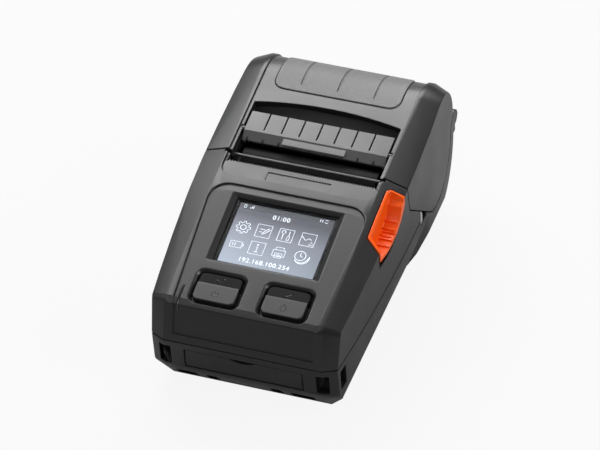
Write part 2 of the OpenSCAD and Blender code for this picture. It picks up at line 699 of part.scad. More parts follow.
module screen_lens() color([0.5, 0.55, 0.65, 0.5]) in_frame() on_panel()
    box([-screen_w/2 - 2, screen_s - 1.6, lens_n - lens_t],
        [screen_w/2 + 2, screen_s + screen_h + 1.6, lens_n]);
module screen_gasket() color("#1b1b1b") in_frame() on_panel() difference() {
    box([-screen_w/2 - 2, screen_s - 1.6, lens_n - lens_t - gasket_t],
        [screen_w/2 + 2, screen_s + screen_h + 1.6, lens_n - lens_t]);
    box([-screen_w/2 - 0.4, screen_s - 0.4, -20], [screen_w/2 + 0.4, screen_s + screen_h + 0.4, 0]);
}
module lcd_module() color("#8f98b8") in_frame() on_panel()
    box([-screen_w/2 - 2.4, screen_s - 3, lens_n - lens_t - gasket_t - lcd_t],
        [screen_w/2 + 2.4, screen_s + screen_h + 2.4, lens_n - lens_t - gasket_t]);

// A cap's outline, with round corners at its outer end only: end is -1 at the front, 1 at the back
function key_cap(a, b, end) = let (r = 2.1)
    end < 0 ? concat([[b[0], b[1]], [a[0], b[1]]], arc_pts([a[0] + r, a[1] + r], r, 180, 270, 5),
        arc_pts([b[0] - r, a[1] + r], r, 270, 360, 5))
    : concat([[a[0], a[1]], [b[0], a[1]]], arc_pts([b[0] - r, b[1] - r], r, 0, 90, 5),
        arc_pts([a[0] + r, b[1] - r], r, 90, 180, 5));
// A key: its cap, and a flange that stops it under the panel
module key(x, low, high, top, end) {
    a = [x - well_w/2 + key_gap, low];
    b = [x + well_w/2 - key_gap, high];
    on_panel() {
        translate([0, 0, -3.4]) linear_extrude(top + 3.4) polygon(key_cap(a, b, end));
        translate([0, 0, -4.2]) linear_extrude(0.8) polygon(key_cap(a - [key_gap + 0.6, end < 0 ? key_gap + 0.6 : 0],
            b + [key_gap + 0.6, end > 0 ? key_gap + 0.6 : 0], end));
    }
}
module key_low(x) key(x, well_s + key_gap, well_s + key_split - key_seam/2, -0.1, -1);
module key_high(x) key(x, well_s + key_split + key_seam/2, well_s + well_l - key_gap, -0.9, 1);
module key_back() color(soft_black) in_frame() key_high(-well_x);
module key_power() color(charcoal) in_frame() key_low(-well_x);
module key_enter() color(soft_black) in_frame() key_high(well_x);
module key_feed() color(charcoal) in_frame() key_low(well_x);
module key_mat() color("#555558") in_frame() on_panel()
    box([-mat_half, well_s - 0.4, -6.2], [mat_half, well_s + well_l + 1.8, -4.3 - key_travel]);
module key_board() color(board_green) in_frame() on_panel()
    box([-mat_half, well_s - 0.4, -7.4], [mat_half, well_s + well_l + 1.8, -6.2]);
// A clear blade beside the keys, which runs over the front edge of the panel
module light_guide() color([0.8, 0.85, 0.9, 0.6]) in_frame() across(-light_x - 0.35, -light_x + 0.35)
    difference() {
        intersection() {
            polygon(inset(side_view(0, 0, case_back_r), sunk));
            translate([-5, 40]) square([18.8, 30]);
        }
        polygon(inset(side_view(0, 0, case_back_r), sunk + 2.6));
    }

module lid_cover() color(charcoal) in_frame() {
    difference() {
        union() {
            difference() {
                intersection() {
                    envelope();
                    across(-60, 60) polygon(lid_outline(0));
                }
                envelope(lid_wall, wall);
            }
            intersection() {
                envelope(0.5);
                across(-60, 60) polygon(lid_outline(0));
                lid_inside();
            }
            for (s = [-1, 1]) difference() {
                union() {
                    bar_x(s*(notch_x + 2.9) - 5, s*(notch_x + 2.9) + 5, hinge_y, hinge_z, lug_r);
                    box([s*(notch_x + 2.9) - 5, body_l - 2.4, hinge_z],
                        [s*(notch_x + 2.9) + 5, hinge_y + 1.2, hinge_z + 8.5]);
                }
                bar_x(-60, 60, hinge_y, hinge_z, hinge_r + run_gap);
            }
        }
        difference() {
            linear_extrude(crown_z) polygon(deck_outline(0));
            envelope(sunk);
            box([-60, 0, 0], [60, total_l, 46]);
        }
        // Slot, with a bowed back edge
        translate([0, 0, 20]) linear_extrude(60) polygon(concat([[-slot_half, 70], [slot_half, 70]],
            [for (i = [0:12]) let (x = slot_half*(1 - i/6))
                [x, slot_back_y + slot_bow*(1 - pow(x/slot_half, 2))]]));
        // Pocket of the pad
        difference() {
            linear_extrude(crown_z) polygon(inset(pad_outline(), -0.2));
            envelope(sunk + 1.2);
            box([-60, 0, 0], [60, total_l, 48]);
        }
        // Bores and notches of the peeler's pins
        bar_x(-peeler_half - 4, peeler_half + 4, peeler_y, peeler_z, peeler_pin_r + run_gap);
        across(-cheek_out, cheek_out) polygon([[peeler_y - 0.5, peeler_z], [peeler_y + 0.5, peeler_z],
            [peeler_y + 1.7, peeler_z + 6], [peeler_y - 1.7, peeler_z + 6]]);
        // Below the hinge line the back is open, between the side plates
        box([-half_w + 5, roll_y + 1, 0], [half_w - 5, hinge_y - 3.6, hinge_z + 5.9]);
        for (p = lid_screw_at) bar_z(p, 40, 57, screw_r);
        // Room for the gear on the platen
        bar_x(gear_x - 0.5, gear_x + gear_t + 0.5, platen_y, platen_z, platen_pr + gear_m + 0.4);
    }
}
module lid_inside() {
    for (s = [-1, 1]) box([s*(slot_half + 3) - 1.8, peeler_y - 3.5, peeler_z - 3.4],
        [s*(slot_half + 3) + 1.8, peeler_y + 3.5, peeler_z + 10]);
    for (p = lid_screw_at) bar_z(p, 51.3, crown_z, 2.6);
}
function pad_outline() = round_rect([4.5 - slot_half, body_l - 31], [slot_half - 4.5, body_l - 5], 4.6);
module lid_pad() color("#57575a") in_frame() {
    difference() {
        intersection() {
            difference() {
                envelope(sunk - 0.5);
                envelope(sunk + 1.2);
            }
            linear_extrude(crown_z) polygon(pad_outline());
            box([-60, 0, 48.4], [60, total_l, 80]);
        }
        for (x = (slot_half/2)*[-1, 0, 1]) difference() {
            box([x - 0.35, body_l - 27.6, 40], [x + 0.35, body_l - 1, 80]);
            envelope(sunk);
        }
    }
}

// The lid's inner frame: two cheeks that hold the platen, and a pan under the slot
module lid_frame() color(soft_black) in_frame() {
    difference() {
        intersection() {
            envelope(lid_wall);
            union() {
                both_sides(cheek_in, cheek_out) polygon([[82.2, 58.6], [82.2, 47], [platen_y - 3.4, 44.6],
                    [platen_y + 3.4, 44.6], [95, 49.8], [106, 50.2], [115, 55], [115, 80], [82.2, 80]]);
                across(-cheek_in - 0.1, cheek_in + 0.1) polygon([[95.4, 52.6], [106, 53.9], [114.8, 60],
                    [113.6, 61], [105.6, 55.2], [95.4, 54]]);
                both_sides(cheek_out - 0.1, hook_out + 0.2) polygon(arc_pts([stud_y, stud_z], stud_r, 0, 350, 35));
                for (p = lid_screw_at) box([min(p[0], sign(p[0])*cheek_in) - 2, p[1] - 3, 50],
                    [max(p[0], sign(p[0])*cheek_in) + 2, p[1] + 3, 51.2]);
            }
        }
        bar_x(-60, 60, platen_y, platen_z, platen_shaft_r + 1);
        bar_x(0.5 - cheek_out, cheek_out - 0.5, peel_bar_y, peel_bar_z, peel_bar_r);
        for (p = lid_screw_at) bar_z(p, 40, 60, screw_r + 0.1);
        box([-cheek_in, 80, 56], [cheek_in, 95.3, 70]);
        bar_x(-60, 60, peeler_y, peeler_z, peeler_pin_r + 0.3);
    }
}
module lid_screws() color(steel) in_frame() for (p = lid_screw_at) {
    bar_z(p, 48.4, 50, 2.2);
    bar_z(p, 50, 56.4, screw_r);
}
module hinge_pin() color(steel) in_frame() bar_x(4 - half_w, half_w - 4, hinge_y, hinge_z, hinge_r);
module lid_springs() color(steel) in_frame()
    for (x = [-notch_x + 2.8, notch_x - 7.6])
        translate([x, hinge_y, hinge_z]) rotate([0, 90, 0]) coil(2.2, 0.7, 1.2, 4);

// The ribbed flap: a bright top with seven grooves, and a front face that falls to the roller
module peeler() color("#6a6a6d") in_frame() {
    top = 61.756 + (105.3 - peeler_y)*tan(lid_tilt) - sunk;
    crease = 61.756 + (94.7 - peeler_y)*tan(lid_tilt) - sunk;
    difference() {
        union() {
            translate([0, 0, peeler_z - 59.6]) {
                across(-peeler_half, peeler_half) polygon([[91.3, 57.7], [92, 57.1], [94.4, 58.6], [96, 58.9],
                    [104.6, 60], [105.3, 60.6], [105.3, top], [94.7, crease]]);
                both_sides(peeler_half - 1.4, peeler_half)
                    polygon([[91.4, 57.8], [91.8, 56], [94.6, 56], [95.6, 58.9]]);
            }
            bar_x(-peeler_half - 3.8, peeler_half + 3.8, peeler_y, peeler_z, peeler_pin_r);
        }
        for (i = [-3:3]) box([i*7.65 - 0.3, 96.2, peeler_z - 59.6 + top - 2.2], [i*7.65 + 0.3, 110, 70]);
        bar_x(-60, 60, peel_roller_y, peel_roller_z, 0.7);
        bar_x(-peeler_half + 1.4, peeler_half - 1.4, peel_roller_y, peel_roller_z, peel_roller_r + 0.15);
    }
}
module peel_roller() color(steel) in_frame() {
    bar_x(-peeler_half + 1.6, peeler_half - 1.6, peel_roller_y, peel_roller_z, peel_roller_r);
    bar_x(-peeler_half + 0.1, peeler_half - 0.1, peel_roller_y, peel_roller_z, 0.7 - run_gap);
}
module peel_bar() color(steel) in_frame()
    bar_x(0.5 - cheek_out, cheek_out - 0.5, peel_bar_y, peel_bar_z, peel_bar_r);

module platen_shaft() color(steel) in_frame()
    bar_x(gear_x - 0.2, hook_out + 0.2, platen_y, platen_z, platen_shaft_r);
module platen_rubber() color("#2b2b2d") in_frame() difference() {
    bar_x(-platen_half, platen_half, platen_y, platen_z, platen_r);
    bar_x(-60, 60, platen_y, platen_z, platen_shaft_r);
}
module platen_bushes() color("#d9d4c4") in_frame() difference() {
    for (x = [-cheek_out, cheek_in]) bar_x(x, x + cheek_out - cheek_in, platen_y, platen_z, platen_shaft_r + 1);
    bar_x(-60, 60, platen_y, platen_z, platen_shaft_r + run_gap);
}
module spur(y, z, teeth, turn, bore) {
    translate([gear_x, y, z]) rotate([90, 0, 90]) rotate(turn) difference() {
        linear_extrude(gear_t) polygon(gear_pts(gear_m, teeth, 0.1));
        translate([0, 0, -1]) cylinder(h = gear_t + 2, r = bore, $fn = round_n);
    }
}
module platen_gear() color("#e6e2d6") in_frame()
    spur(platen_y, platen_z, platen_teeth, 180 + idler_drop, platen_shaft_r);
// The idler's tooth gap faces the platen gear's tooth, and the pinion's gap faces the idler's tooth
idler_turn = idler_drop + 180/idler_teeth;
pinion_turn = motor_drop + 180/pinion_teeth + (180 + motor_drop - idler_turn)*idler_teeth/pinion_teeth;
module idler_gear() color("#e6e2d6") in_frame() spur(idler_y, idler_z, idler_teeth, idler_turn, 2 + run_gap);
module motor_pinion() color("#c8a24a") in_frame() spur(motor_y, motor_z, pinion_teeth, pinion_turn, 1);
module gear_plate() color(steel) in_frame() {
    difference() {
        across(gear_plate_x - gear_plate_t, gear_plate_x) polygon([[motor_y - 9, motor_z - motor_r - 0.6],
            [motor_y + 9, motor_z - motor_r - 0.6], [idler_y + 8, idler_z - 8], [idler_y + 8, 43], [motor_y - 9, 43]]);
        bar_x(-60, 0, motor_y, motor_z, 3);
    }
    bar_x(gear_x + 0.1, gear_plate_x - gear_plate_t, idler_y, idler_z, 2);
}
module motor() color("#9a9ca0") in_frame() {
    difference() {
        bar_x(gear_plate_x, gear_plate_x + 15, motor_y, motor_z, motor_r);
        bar_x(gear_plate_x - 1, gear_plate_x + 6, motor_y, motor_z, 1 + run_gap);
    }
}

module print_head() color("#d8cfae") in_frame() across(-platen_half, platen_half)
    polygon([[81, 45.5], [81.92, 46.4], [81.92, 52.6], [81, 53.6]]);
module head_heatsink() color("#aeb1b6") in_frame() box([-platen_half, 79.4, 43], [platen_half, 81, 54.8]);
// The springs are drawn pressed, clear of the head's travel
module head_springs() color(steel) in_frame() for (x = [-15, 15])
    translate([x, 71.4, 46.6]) rotate([-90, 0, 0]) coil(2.1, 0.6, 1.15, 6);
module print_chassis() color("#a6a9ae") in_frame() difference() {
    union() {
        box([0.4 - cheek_in, 68, chassis_z], [cheek_in - 0.4, 94.6, chassis_z + 1]);
        box([0.6 - cheek_in, 70, chassis_z], [cheek_in - 0.6, 71, 50]);
        both_sides(cheek_in - 1.6, cheek_in - 0.4)
            polygon([[68, chassis_z], [81.6, chassis_z], [81.6, 44], [79.6, 53.9], [74, 53.9], [68, 49.5]]);
    }
    bar_x(-60, 60, latch_y, latch_z, latch_r + run_gap);
}
module gap_sensor() color(soft_black) in_frame() box([8, 90.6, 41.4], [17, 94.4, 43]);

module roll_bay() color("#303033") in_frame() difference() {
    union() {
        across(-bay_half, bay_half) polygon(concat(arc_pts([roll_y, roll_z], bay_r + bay_wall, 180, 360, 24),
            arc_pts([roll_y, roll_z], bay_r, 360, 180, 24)));
        both_sides(bay_half, bay_half + bay_wall) polygon(arc_pts([roll_y, roll_z], bay_r + bay_wall, 180, 360, 24));
        // Shelves beside the bay
        for (s = [-1, 1]) box([s > 0 ? bay_half + 0.4 : 4.8 - half_w, roll_y - 18, 24.4],
            [s > 0 ? half_w - 4.8 : -bay_half - 0.4, roll_y + 20, 25.6]);
    }
    // Slots for the feet of the two label guides
    for (a = [0, 180]) translate([0, roll_y, 0]) rotate(a)
        box([guide_x - guide_travel - 0.3, rack_y + 0.7, 0], [bay_half, rack_y + rack_back + 0.3, 12]);
}
// The right label guide: its plate, its foot through the bay and its rack. The left one is the
// same piece, turned half round.
module label_guide() {
    tooth = PI*guide_m/4 - 0.08;
    across(guide_x, guide_x + guide_t) polygon(concat(arc_pts([roll_y, roll_z], bay_r - 0.8, 192, 348, 16),
        arc_pts([roll_y, roll_z + 3], 8, 10, 170, 8)));
    box([guide_x + 0.1, roll_y + rack_y + 1.1, rack_z + 0.1],
        [guide_x + guide_t - 0.1, roll_y + rack_y + rack_back - 0.1, 13]);
    translate([0, roll_y + rack_y, rack_z]) linear_extrude(rack_t) polygon(concat(
        [[guide_x + guide_t - 0.2, rack_back], [-3.6, rack_back], [-3.6, 1]],
        [for (i = [-1:7], q = [[-0.9, 1], [0.76, 1], [0.76, -1], [-0.9, -1]])
            [i*PI*guide_m - q[1]*(tooth - q[0]*tan(20)), -q[0]]],
        [[guide_x + guide_t - 0.2, 1]]));
}
module guide_right() color("#48484b") in_frame() label_guide();
module guide_left() color("#48484b") in_frame() translate([0, 2*roll_y, 0]) rotate(180) label_guide();
module guide_pinion() color("#e6e2d6") in_frame() translate([0, roll_y, rack_z]) difference() {
    linear_extrude(rack_t) polygon(gear_pts(guide_m, guide_teeth, 0.15));
    translate([0, 0, -1]) cylinder(h = 8, r = 1.5 + run_gap, $fn = round_n);
}

module main_board() color(board_green) in_frame() box([16.5 - half_w, 8, board_z], [half_w - 16.5, 58, board_z + 1.6]);
module radio_module() color("#c9ccd0") in_frame() box([half_w - 36, 34, board_z + 1.6], [half_w - 20, 48, board_z + 4]);
module buzzer() color(soft_black) in_frame() bar_z([28 - half_w, 44], board_z + 1.6, board_z + 5.6, 4.5);
module port_board() color(board_green) in_frame() box([-22, 17, 12.5], [22, 18.4, 23.6]);
module usb_socket() color(steel) in_frame() difference() {
    box([-16, 8, 16], [-7, 17, 19.6]);
    box([-15.4, 7, 16.6], [-7.6, 14, 19]);
}
module power_socket() color(soft_black) in_frame() {
    difference() {
        box([4, 7, 14.5], [13, 17, 22]);
        translate([8.5, 6, 18.2]) rotate([-90, 0, 0]) cylinder(h = 9, r = 2.75, $fn = round_n);
    }
    translate([8.5, 8, 18.2]) rotate([-90, 0, 0]) cylinder(h = 7.5, r = 0.8, $fn = round_n);
}
module port_cover() color(soft_black) in_frame() difference() {
    union() {
        across(-port_half + 0.25, port_half - 0.25) polygon([[0.45, port_high - 0.3], [0.9, port_low + 0.7],
            [1.5, port_low + 0.3], [2.3, port_low + 0.6], [2.3, port_high - 0.3]]);
        bar_x(-port_half - 1.4, port_half + 1.4, 1.5, port_low + 0.9, 0.7);
    }
    // Notch for a fingernail
    translate([0, -1, port_high - 1.9 + 12]) rotate([-90, 0, 0]) cylinder(h = 6, r = 12, $fn = 96);
}

module battery_pack() color("#2c2c2e") in_frame() {
    box([-battery_w/2, battery_y, foot_h + 0.2], [battery_w/2, battery_y + battery_l, battery_top]);
}
module battery_contacts() color("#d0b060") in_frame() for (x = [-9, -3, 3, 9])
    box([x - 1, battery_y - bay_gap, 8], [x + 1, battery_y - 0.05, 15]);
module battery_latch() color("#515154") in_frame() {
    y0 = battery_y + battery_l + 0.3;
    difference() {
        box([-6, y0, foot_h + 0.2], [6, y0 + 6, foot_h + 2.4]);
        translate([0, y0 + 1.2, foot_h + 1.3]) rotate([-90, 0, 0]) cylinder(h = 9, r = 0.95, $fn = 24);
    }
}
// Drawn pressed, in the latch's bore and clear of its travel
module battery_spring() color(steel) in_frame()
    translate([0, battery_y + battery_l + 4.4, foot_h + 1.3]) rotate([-90, 0, 0]) coil(0.6, 0.3, 0.75, 6);

module case_screws() color(steel) in_frame() for (p = screw_at) {
    bar_z(p, 5.2, 7, 2.4);
    bar_z(p, 7, screw_top, screw_r);
}
module clip_inserts() color("#c8a24a") in_frame() for (s = [-1, 1]) difference() {
    bar_z([s*clip_pitch/2, clip_y], foot_h + 0.1, foot_h + 4.6, 2.6);
    bar_z([s*clip_pitch/2, clip_y], -1, foot_h + 4.7, clip_r);
}
module feet() color("#1c1c1d") in_frame() for (p = foot_at) bar_z(p, 0, foot_h + 0.4, 3.1);
module side_catch() color("#a9a9a6") in_frame() difference() {
    intersection() {
        envelope(0.4);
        box([half_w - 3.6, catch_y, seam_z - 3], [60, catch_y + 3.2, seam_z + 4.4]);
    }
    across(-60, 60) polygon(lid_outline(seam_gap));
}

lower_case();
upper_case();
tear_bar();
screen_lens();
screen_gasket();
lcd_module();
key_back();
key_power();
key_enter();
key_feed();
key_mat();
key_board();
light_guide();
release_lever();
latch_shaft();
latch_hooks();
latch_spring();
lid_cover();
lid_pad();
lid_frame();
lid_screws();
hinge_pin();
lid_springs();
peeler();
peel_roller();
peel_bar();
platen_shaft();
platen_rubber();
platen_bushes();
platen_gear();
print_head();
head_heatsink();
head_springs();
print_chassis();
gap_sensor();
gear_plate();
motor();
motor_pinion();
idler_gear();
roll_bay();
guide_left();
guide_right();
guide_pinion();
main_board();
radio_module();
buzzer();
port_board();
usb_socket();
power_socket();
port_cover();
battery_pack();
battery_contacts();
battery_latch();
battery_spring();
case_screws();
clip_inserts();
feet();
side_catch();
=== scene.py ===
# Portable label printer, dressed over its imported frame.
# Pieces are drawn in millimetres, as the frame's source gives them: X across, Y from the front face,
# Z up from the feet. They are turned into metres, centred along Y, as each one is finished.
import json
import math
import bpy
import bmesh
from mathutils import Matrix, Vector

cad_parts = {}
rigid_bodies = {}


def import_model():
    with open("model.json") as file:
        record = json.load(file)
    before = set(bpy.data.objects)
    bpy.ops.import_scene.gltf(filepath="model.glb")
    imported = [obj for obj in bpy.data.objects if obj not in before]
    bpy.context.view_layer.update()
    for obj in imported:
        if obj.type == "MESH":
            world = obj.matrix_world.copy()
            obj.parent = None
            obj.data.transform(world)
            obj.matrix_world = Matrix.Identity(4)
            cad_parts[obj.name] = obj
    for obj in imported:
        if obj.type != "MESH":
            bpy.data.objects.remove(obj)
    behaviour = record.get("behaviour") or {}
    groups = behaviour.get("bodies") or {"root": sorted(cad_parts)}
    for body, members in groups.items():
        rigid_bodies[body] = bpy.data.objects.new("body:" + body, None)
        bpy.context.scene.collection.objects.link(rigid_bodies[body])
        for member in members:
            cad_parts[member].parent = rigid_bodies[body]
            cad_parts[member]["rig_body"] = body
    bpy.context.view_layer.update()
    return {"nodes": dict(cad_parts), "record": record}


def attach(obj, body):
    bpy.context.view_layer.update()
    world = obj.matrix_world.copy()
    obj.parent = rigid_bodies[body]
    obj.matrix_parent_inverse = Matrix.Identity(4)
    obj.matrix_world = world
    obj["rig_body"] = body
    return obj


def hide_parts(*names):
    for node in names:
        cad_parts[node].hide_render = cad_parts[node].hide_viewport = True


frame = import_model()

# ---- Bottom shell --------------------------------------------------------------------------
# The tub that carries everything: moulded in a near-black polycarbonate blend with the fine
# sparked texture of its tool. Its edges are broken by a third of a millimetre.

MM = 0.001
FRONT_TO_MIDDLE = 78.05
SPARK_SIZE = 0.42 * MM
SLOTS = {row["node"]: row["material_slot"] for row in frame["record"]["subparts"]}
UPRIGHT = Matrix.Scale(MM, 4) @ Matrix.Translation((0, -FRONT_TO_MIDDLE, 0))


def new_group(name, inputs, outputs):
    """A shader node group with named inputs {name: (kind, default)} and outputs {name: kind}."""
    group = bpy.data.node_groups.new(name, "ShaderNodeTree")
    for label, (kind, default) in inputs.items():
        socket = group.interface.new_socket(label, in_out="INPUT", socket_type=kind)
        socket.default_value = default
    for label, kind in outputs.items():
        group.interface.new_socket(label, in_out="OUTPUT", socket_type=kind)
    return group, group.nodes.new("NodeGroupInput"), group.nodes.new("NodeGroupOutput")


def put(tree, kind, **values):
    """A node with its settings (lower case) and unlinked inputs (by socket name)."""
    made = tree.nodes.new(kind)
    for key, value in values.items():
        if hasattr(made, key):
            setattr(made, key, value)
        else:
            made.inputs[key.replace("_", " ")].default_value = value
    return made


def calc(tree, operation, a, b=0.0, clamp=False):
    """A Math node on two sockets or numbers."""
    made = tree.nodes.new("ShaderNodeMath")
    made.operation = operation
    made.use_clamp = clamp
    for socket, value in zip(made.inputs, (a, b)):
        if isinstance(value, (int, float)):
            socket.default_value = value
        else:
            tree.links.new(value, socket)
    return made.outputs[0]


# Sparked tool texture: rounded pits of one size, broken up by a finer noise
spark_texture, given, out = new_group("spark_texture",
    {"Size": ("NodeSocketFloat", SPARK_SIZE), "Fine": ("NodeSocketFloat", 0.4)},
    {"Height": "NodeSocketFloat"})
place = put(spark_texture, "ShaderNodeTexCoord")
per_metre = calc(spark_texture, "DIVIDE", 1.0, given.outputs["Size"])
pits = put(spark_texture, "ShaderNodeTexVoronoi", feature="SMOOTH_F1", Smoothness=0.6)
dust = put(spark_texture, "ShaderNodeTexNoise", Detail=3.0, Roughness=0.6)
spark_texture.links.new(place.outputs["Object"], pits.inputs["Vector"])
spark_texture.links.new(place.outputs["Object"], dust.inputs["Vector"])
spark_texture.links.new(per_metre, pits.inputs["Scale"])
spark_texture.links.new(calc(spark_texture, "MULTIPLY", per_metre, 0.6), dust.inputs["Scale"])
both = calc(spark_texture, "ADD", pits.outputs["Distance"],
            calc(spark_texture, "MULTIPLY", dust.outputs[0], given.outputs["Fine"]))
spark_texture.links.new(both, out.inputs["Height"])

# Slight drift of tone and gloss over a moulding, from flow in the tool and from handling
GLOSS_SWING = 0.6
tone_drift, given, out = new_group("tone_drift",
    {"Colour": ("NodeSocketColor", (0.1, 0.1, 0.1, 1)), "Roughness": ("NodeSocketFloat", 0.5),
     "Drift": ("NodeSocketFloat", 0.1), "Size": ("NodeSocketFloat", 0.02)},
    {"Colour": "NodeSocketColor", "Roughness": "NodeSocketFloat"})
place = put(tone_drift, "ShaderNodeTexCoord")
flow = put(tone_drift, "ShaderNodeTexNoise", Detail=4.0, Roughness=0.55)
tone_drift.links.new(place.outputs["Object"], flow.inputs["Vector"])
tone_drift.links.new(calc(tone_drift, "DIVIDE", 1.0, given.outputs["Size"]), flow.inputs["Scale"])
swing = calc(tone_drift, "MULTIPLY", calc(tone_drift, "SUBTRACT", flow.outputs[0], 0.5),
             given.outputs["Drift"])
light = put(tone_drift, "ShaderNodeVectorMath", operation="SCALE")
tone_drift.links.new(given.outputs["Colour"], light.inputs[0])
tone_drift.links.new(calc(tone_drift, "ADD", swing, 1.0), light.inputs["Scale"])
tone_drift.links.new(light.outputs[0], out.inputs["Colour"])
tone_drift.links.new(calc(tone_drift, "SUBTRACT", given.outputs["Roughness"],
                          calc(tone_drift, "MULTIPLY", swing, GLOSS_SWING), clamp=True),
                     out.inputs["Roughness"])

# Rub marks from pockets and tables: thin lighter streaks, few and faint
STREAK_FROM, STREAK_GAIN, WORN_FROM, WORN_GAIN, STREAK_GLOSS = 0.66, 9.0, 0.5, 5.0, 0.15
rub_marks, given, out = new_group("rub_marks",
    {"Colour": ("NodeSocketColor", (0.1, 0.1, 0.1, 1)), "Roughness": ("NodeSocketFloat", 0.5),
     "Amount": ("NodeSocketFloat", 0.3)},
    {"Colour": "NodeSocketColor", "Roughness": "NodeSocketFloat"})
place = put(rub_marks, "ShaderNodeTexCoord")
lay = put(rub_marks, "ShaderNodeMapping", Rotation=(0.3, 0.2, 0.9), Scale=(60, 900, 300))
scratch = put(rub_marks, "ShaderNodeTexNoise", Scale=1.0, Detail=2.0, Roughness=0.7)
area = put(rub_marks, "ShaderNodeTexNoise", Scale=38.0, Detail=1.0)
rub_marks.links.new(place.outputs["Object"], lay.inputs["Vector"])
rub_marks.links.new(lay.outputs[0], scratch.inputs["Vector"])
rub_marks.links.new(place.outputs["Object"], area.inputs["Vector"])
streak = calc(rub_marks, "MULTIPLY", calc(rub_marks, "SUBTRACT", scratch.outputs[0], STREAK_FROM),
              STREAK_GAIN, clamp=True)
worn = calc(rub_marks, "MULTIPLY", calc(rub_marks, "SUBTRACT", area.outputs[0], WORN_FROM),
            WORN_GAIN, clamp=True)
mark = calc(rub_marks, "MULTIPLY", calc(rub_marks, "MULTIPLY", streak, worn), given.outputs["Amount"])
pale = put(rub_marks, "ShaderNodeVectorMath", operation="SCALE")
rub_marks.links.new(given.outputs["Colour"], pale.inputs[0])
rub_marks.links.new(calc(rub_marks, "ADD", mark, 1.0), pale.inputs["Scale"])
rub_marks.links.new(pale.outputs[0], out.inputs["Colour"])
rub_marks.links.new(calc(rub_marks, "SUBTRACT", given.outputs["Roughness"],
                         calc(rub_marks, "MULTIPLY", mark, STREAK_GLOSS), clamp=True),
                    out.inputs["Roughness"])


def moulded(name, colour, rough, size=SPARK_SIZE, depth=0.02, drift=0.25, metal=0.0, coat=0.0,
            fine=0.4, rubbed=0.0, shine=0.5):
    """A moulding: tone that drifts, rub marks, and the tool's texture, with depth in mm."""
    made = bpy.data.materials.new(name)
    made.use_nodes = True
    tree = made.node_tree
    shader = tree.nodes["Principled BSDF"]
    shader.inputs["Metallic"].default_value = metal
    shader.inputs["Coat Weight"].default_value = coat
    shader.inputs["Coat Roughness"].default_value = 0.15
    shader.inputs["Specular IOR Level"].default_value = shine
    tone = put(tree, "ShaderNodeGroup", node_tree=tone_drift)
    tone.inputs["Colour"].default_value = (*colour, 1)
    tone.inputs["Roughness"].default_value = rough
    tone.inputs["Drift"].default_value = drift
    if rubbed:
        marks = put(tree, "ShaderNodeGroup", node_tree=rub_marks)
        marks.inputs["Amount"].default_value = rubbed
        for label in ("Colour", "Roughness"):
            tree.links.new(tone.outputs[label], marks.inputs[label])
        tone = marks
    tree.links.new(tone.outputs["Colour"], shader.inputs["Base Color"])
    tree.links.new(tone.outputs["Roughness"], shader.inputs["Roughness"])
    if depth:
        spark = put(tree, "ShaderNodeGroup", node_tree=spark_texture)
        spark.inputs["Size"].default_value = size
        spark.inputs["Fine"].default_value = fine
        bump = put(tree, "ShaderNodeBump", Strength=0.9, Distance=depth * MM)
        tree.links.new(spark.outputs["Height"], bump.inputs["Height"])
        tree.links.new(bump.outputs["Normal"], shader.inputs["Normal"])
    return made


def finish_piece(mesh, name, body, material, *stands_for, bevel=0.0, segments=2, angle=32, slot=None):
    """Links a mesh as a piece on a body, with its material and its broken edges (mm). Its slot is not used.
    """
    piece = bpy.data.objects.new(name, mesh)
    bpy.context.scene.collection.objects.link(piece)
    if not mesh.materials or mesh.materials[0] != material:
        mesh.materials.clear()
        mesh.materials.append(material)
    mesh.polygons.foreach_set("use_smooth", [True] * len(mesh.polygons))
    if bevel:
        edge = piece.modifiers.new("broken_edges", "BEVEL")
        edge.width = bevel * MM
        edge.segments = segments
        edge.limit_method = "ANGLE"
        edge.angle_limit = math.radians(angle)
        edge.use_clamp_overlap = False
        edge.miter_outer = "MITER_ARC"
    flat = piece.modifiers.new("flat_faces", "WEIGHTED_NORMAL")
    flat.mode = "FACE_AREA"
    flat.weight = 100
    flat.keep_sharp = True
    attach(piece, body)
    if stands_for:
        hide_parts(*stands_for)
    return piece


def body_of(node):
    """The body that a node of the frame rides on."""
    return frame["nodes"][node]["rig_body"]


def fair(node, material, bevel=0.3, segments=2, angle=32, second=None):
    """A node's own solid with broken edges. second is (material, test on a face), for the faces that
    take another finish."""
    mesh = frame["nodes"][node].data.copy()
    shape = bmesh.new()
    shape.from_mesh(mesh)
    bmesh.ops.remove_doubles(shape, verts=shape.verts, dist=2e-6)
    bmesh.ops.dissolve_limit(shape, angle_limit=math.radians(1), verts=shape.verts[:], edges=shape.edges[:])
    bmesh.ops.triangulate(shape, faces=shape.faces[:], quad_method="BEAUTY", ngon_method="BEAUTY")
    mesh.materials.clear()
    mesh.materials.append(material)
    for face in shape.faces:
        face.material_index = 0
    if second:
        mesh.materials.append(second[0])
        for face in shape.faces:
            if second[1](face):
                face.material_index = 1
    shape.to_mesh(mesh)
    shape.free()
    return finish_piece(mesh, node + "_shell", body_of(node), material, node,
                        bevel=bevel, segments=segments, angle=angle, slot=SLOTS[node])


shell_black = moulded("shell_black", (0.0135, 0.0135, 0.0147), 0.36, depth=0.022, rubbed=0.35)
fair("lower_case", shell_black, bevel=0.3)

# ---- Feet and belt clip threads ------------------------------------------------------------
# Four rubber discs glued into round pockets, and two brass inserts pressed in from below, where a
# belt clip is screwed on.

soft_rubber = moulded("soft_rubber", (0.012, 0.012, 0.0125), 0.75, size=0.3 * MM, depth=0.02)
fair("feet", soft_rubber, bevel=0.2, segments=3)

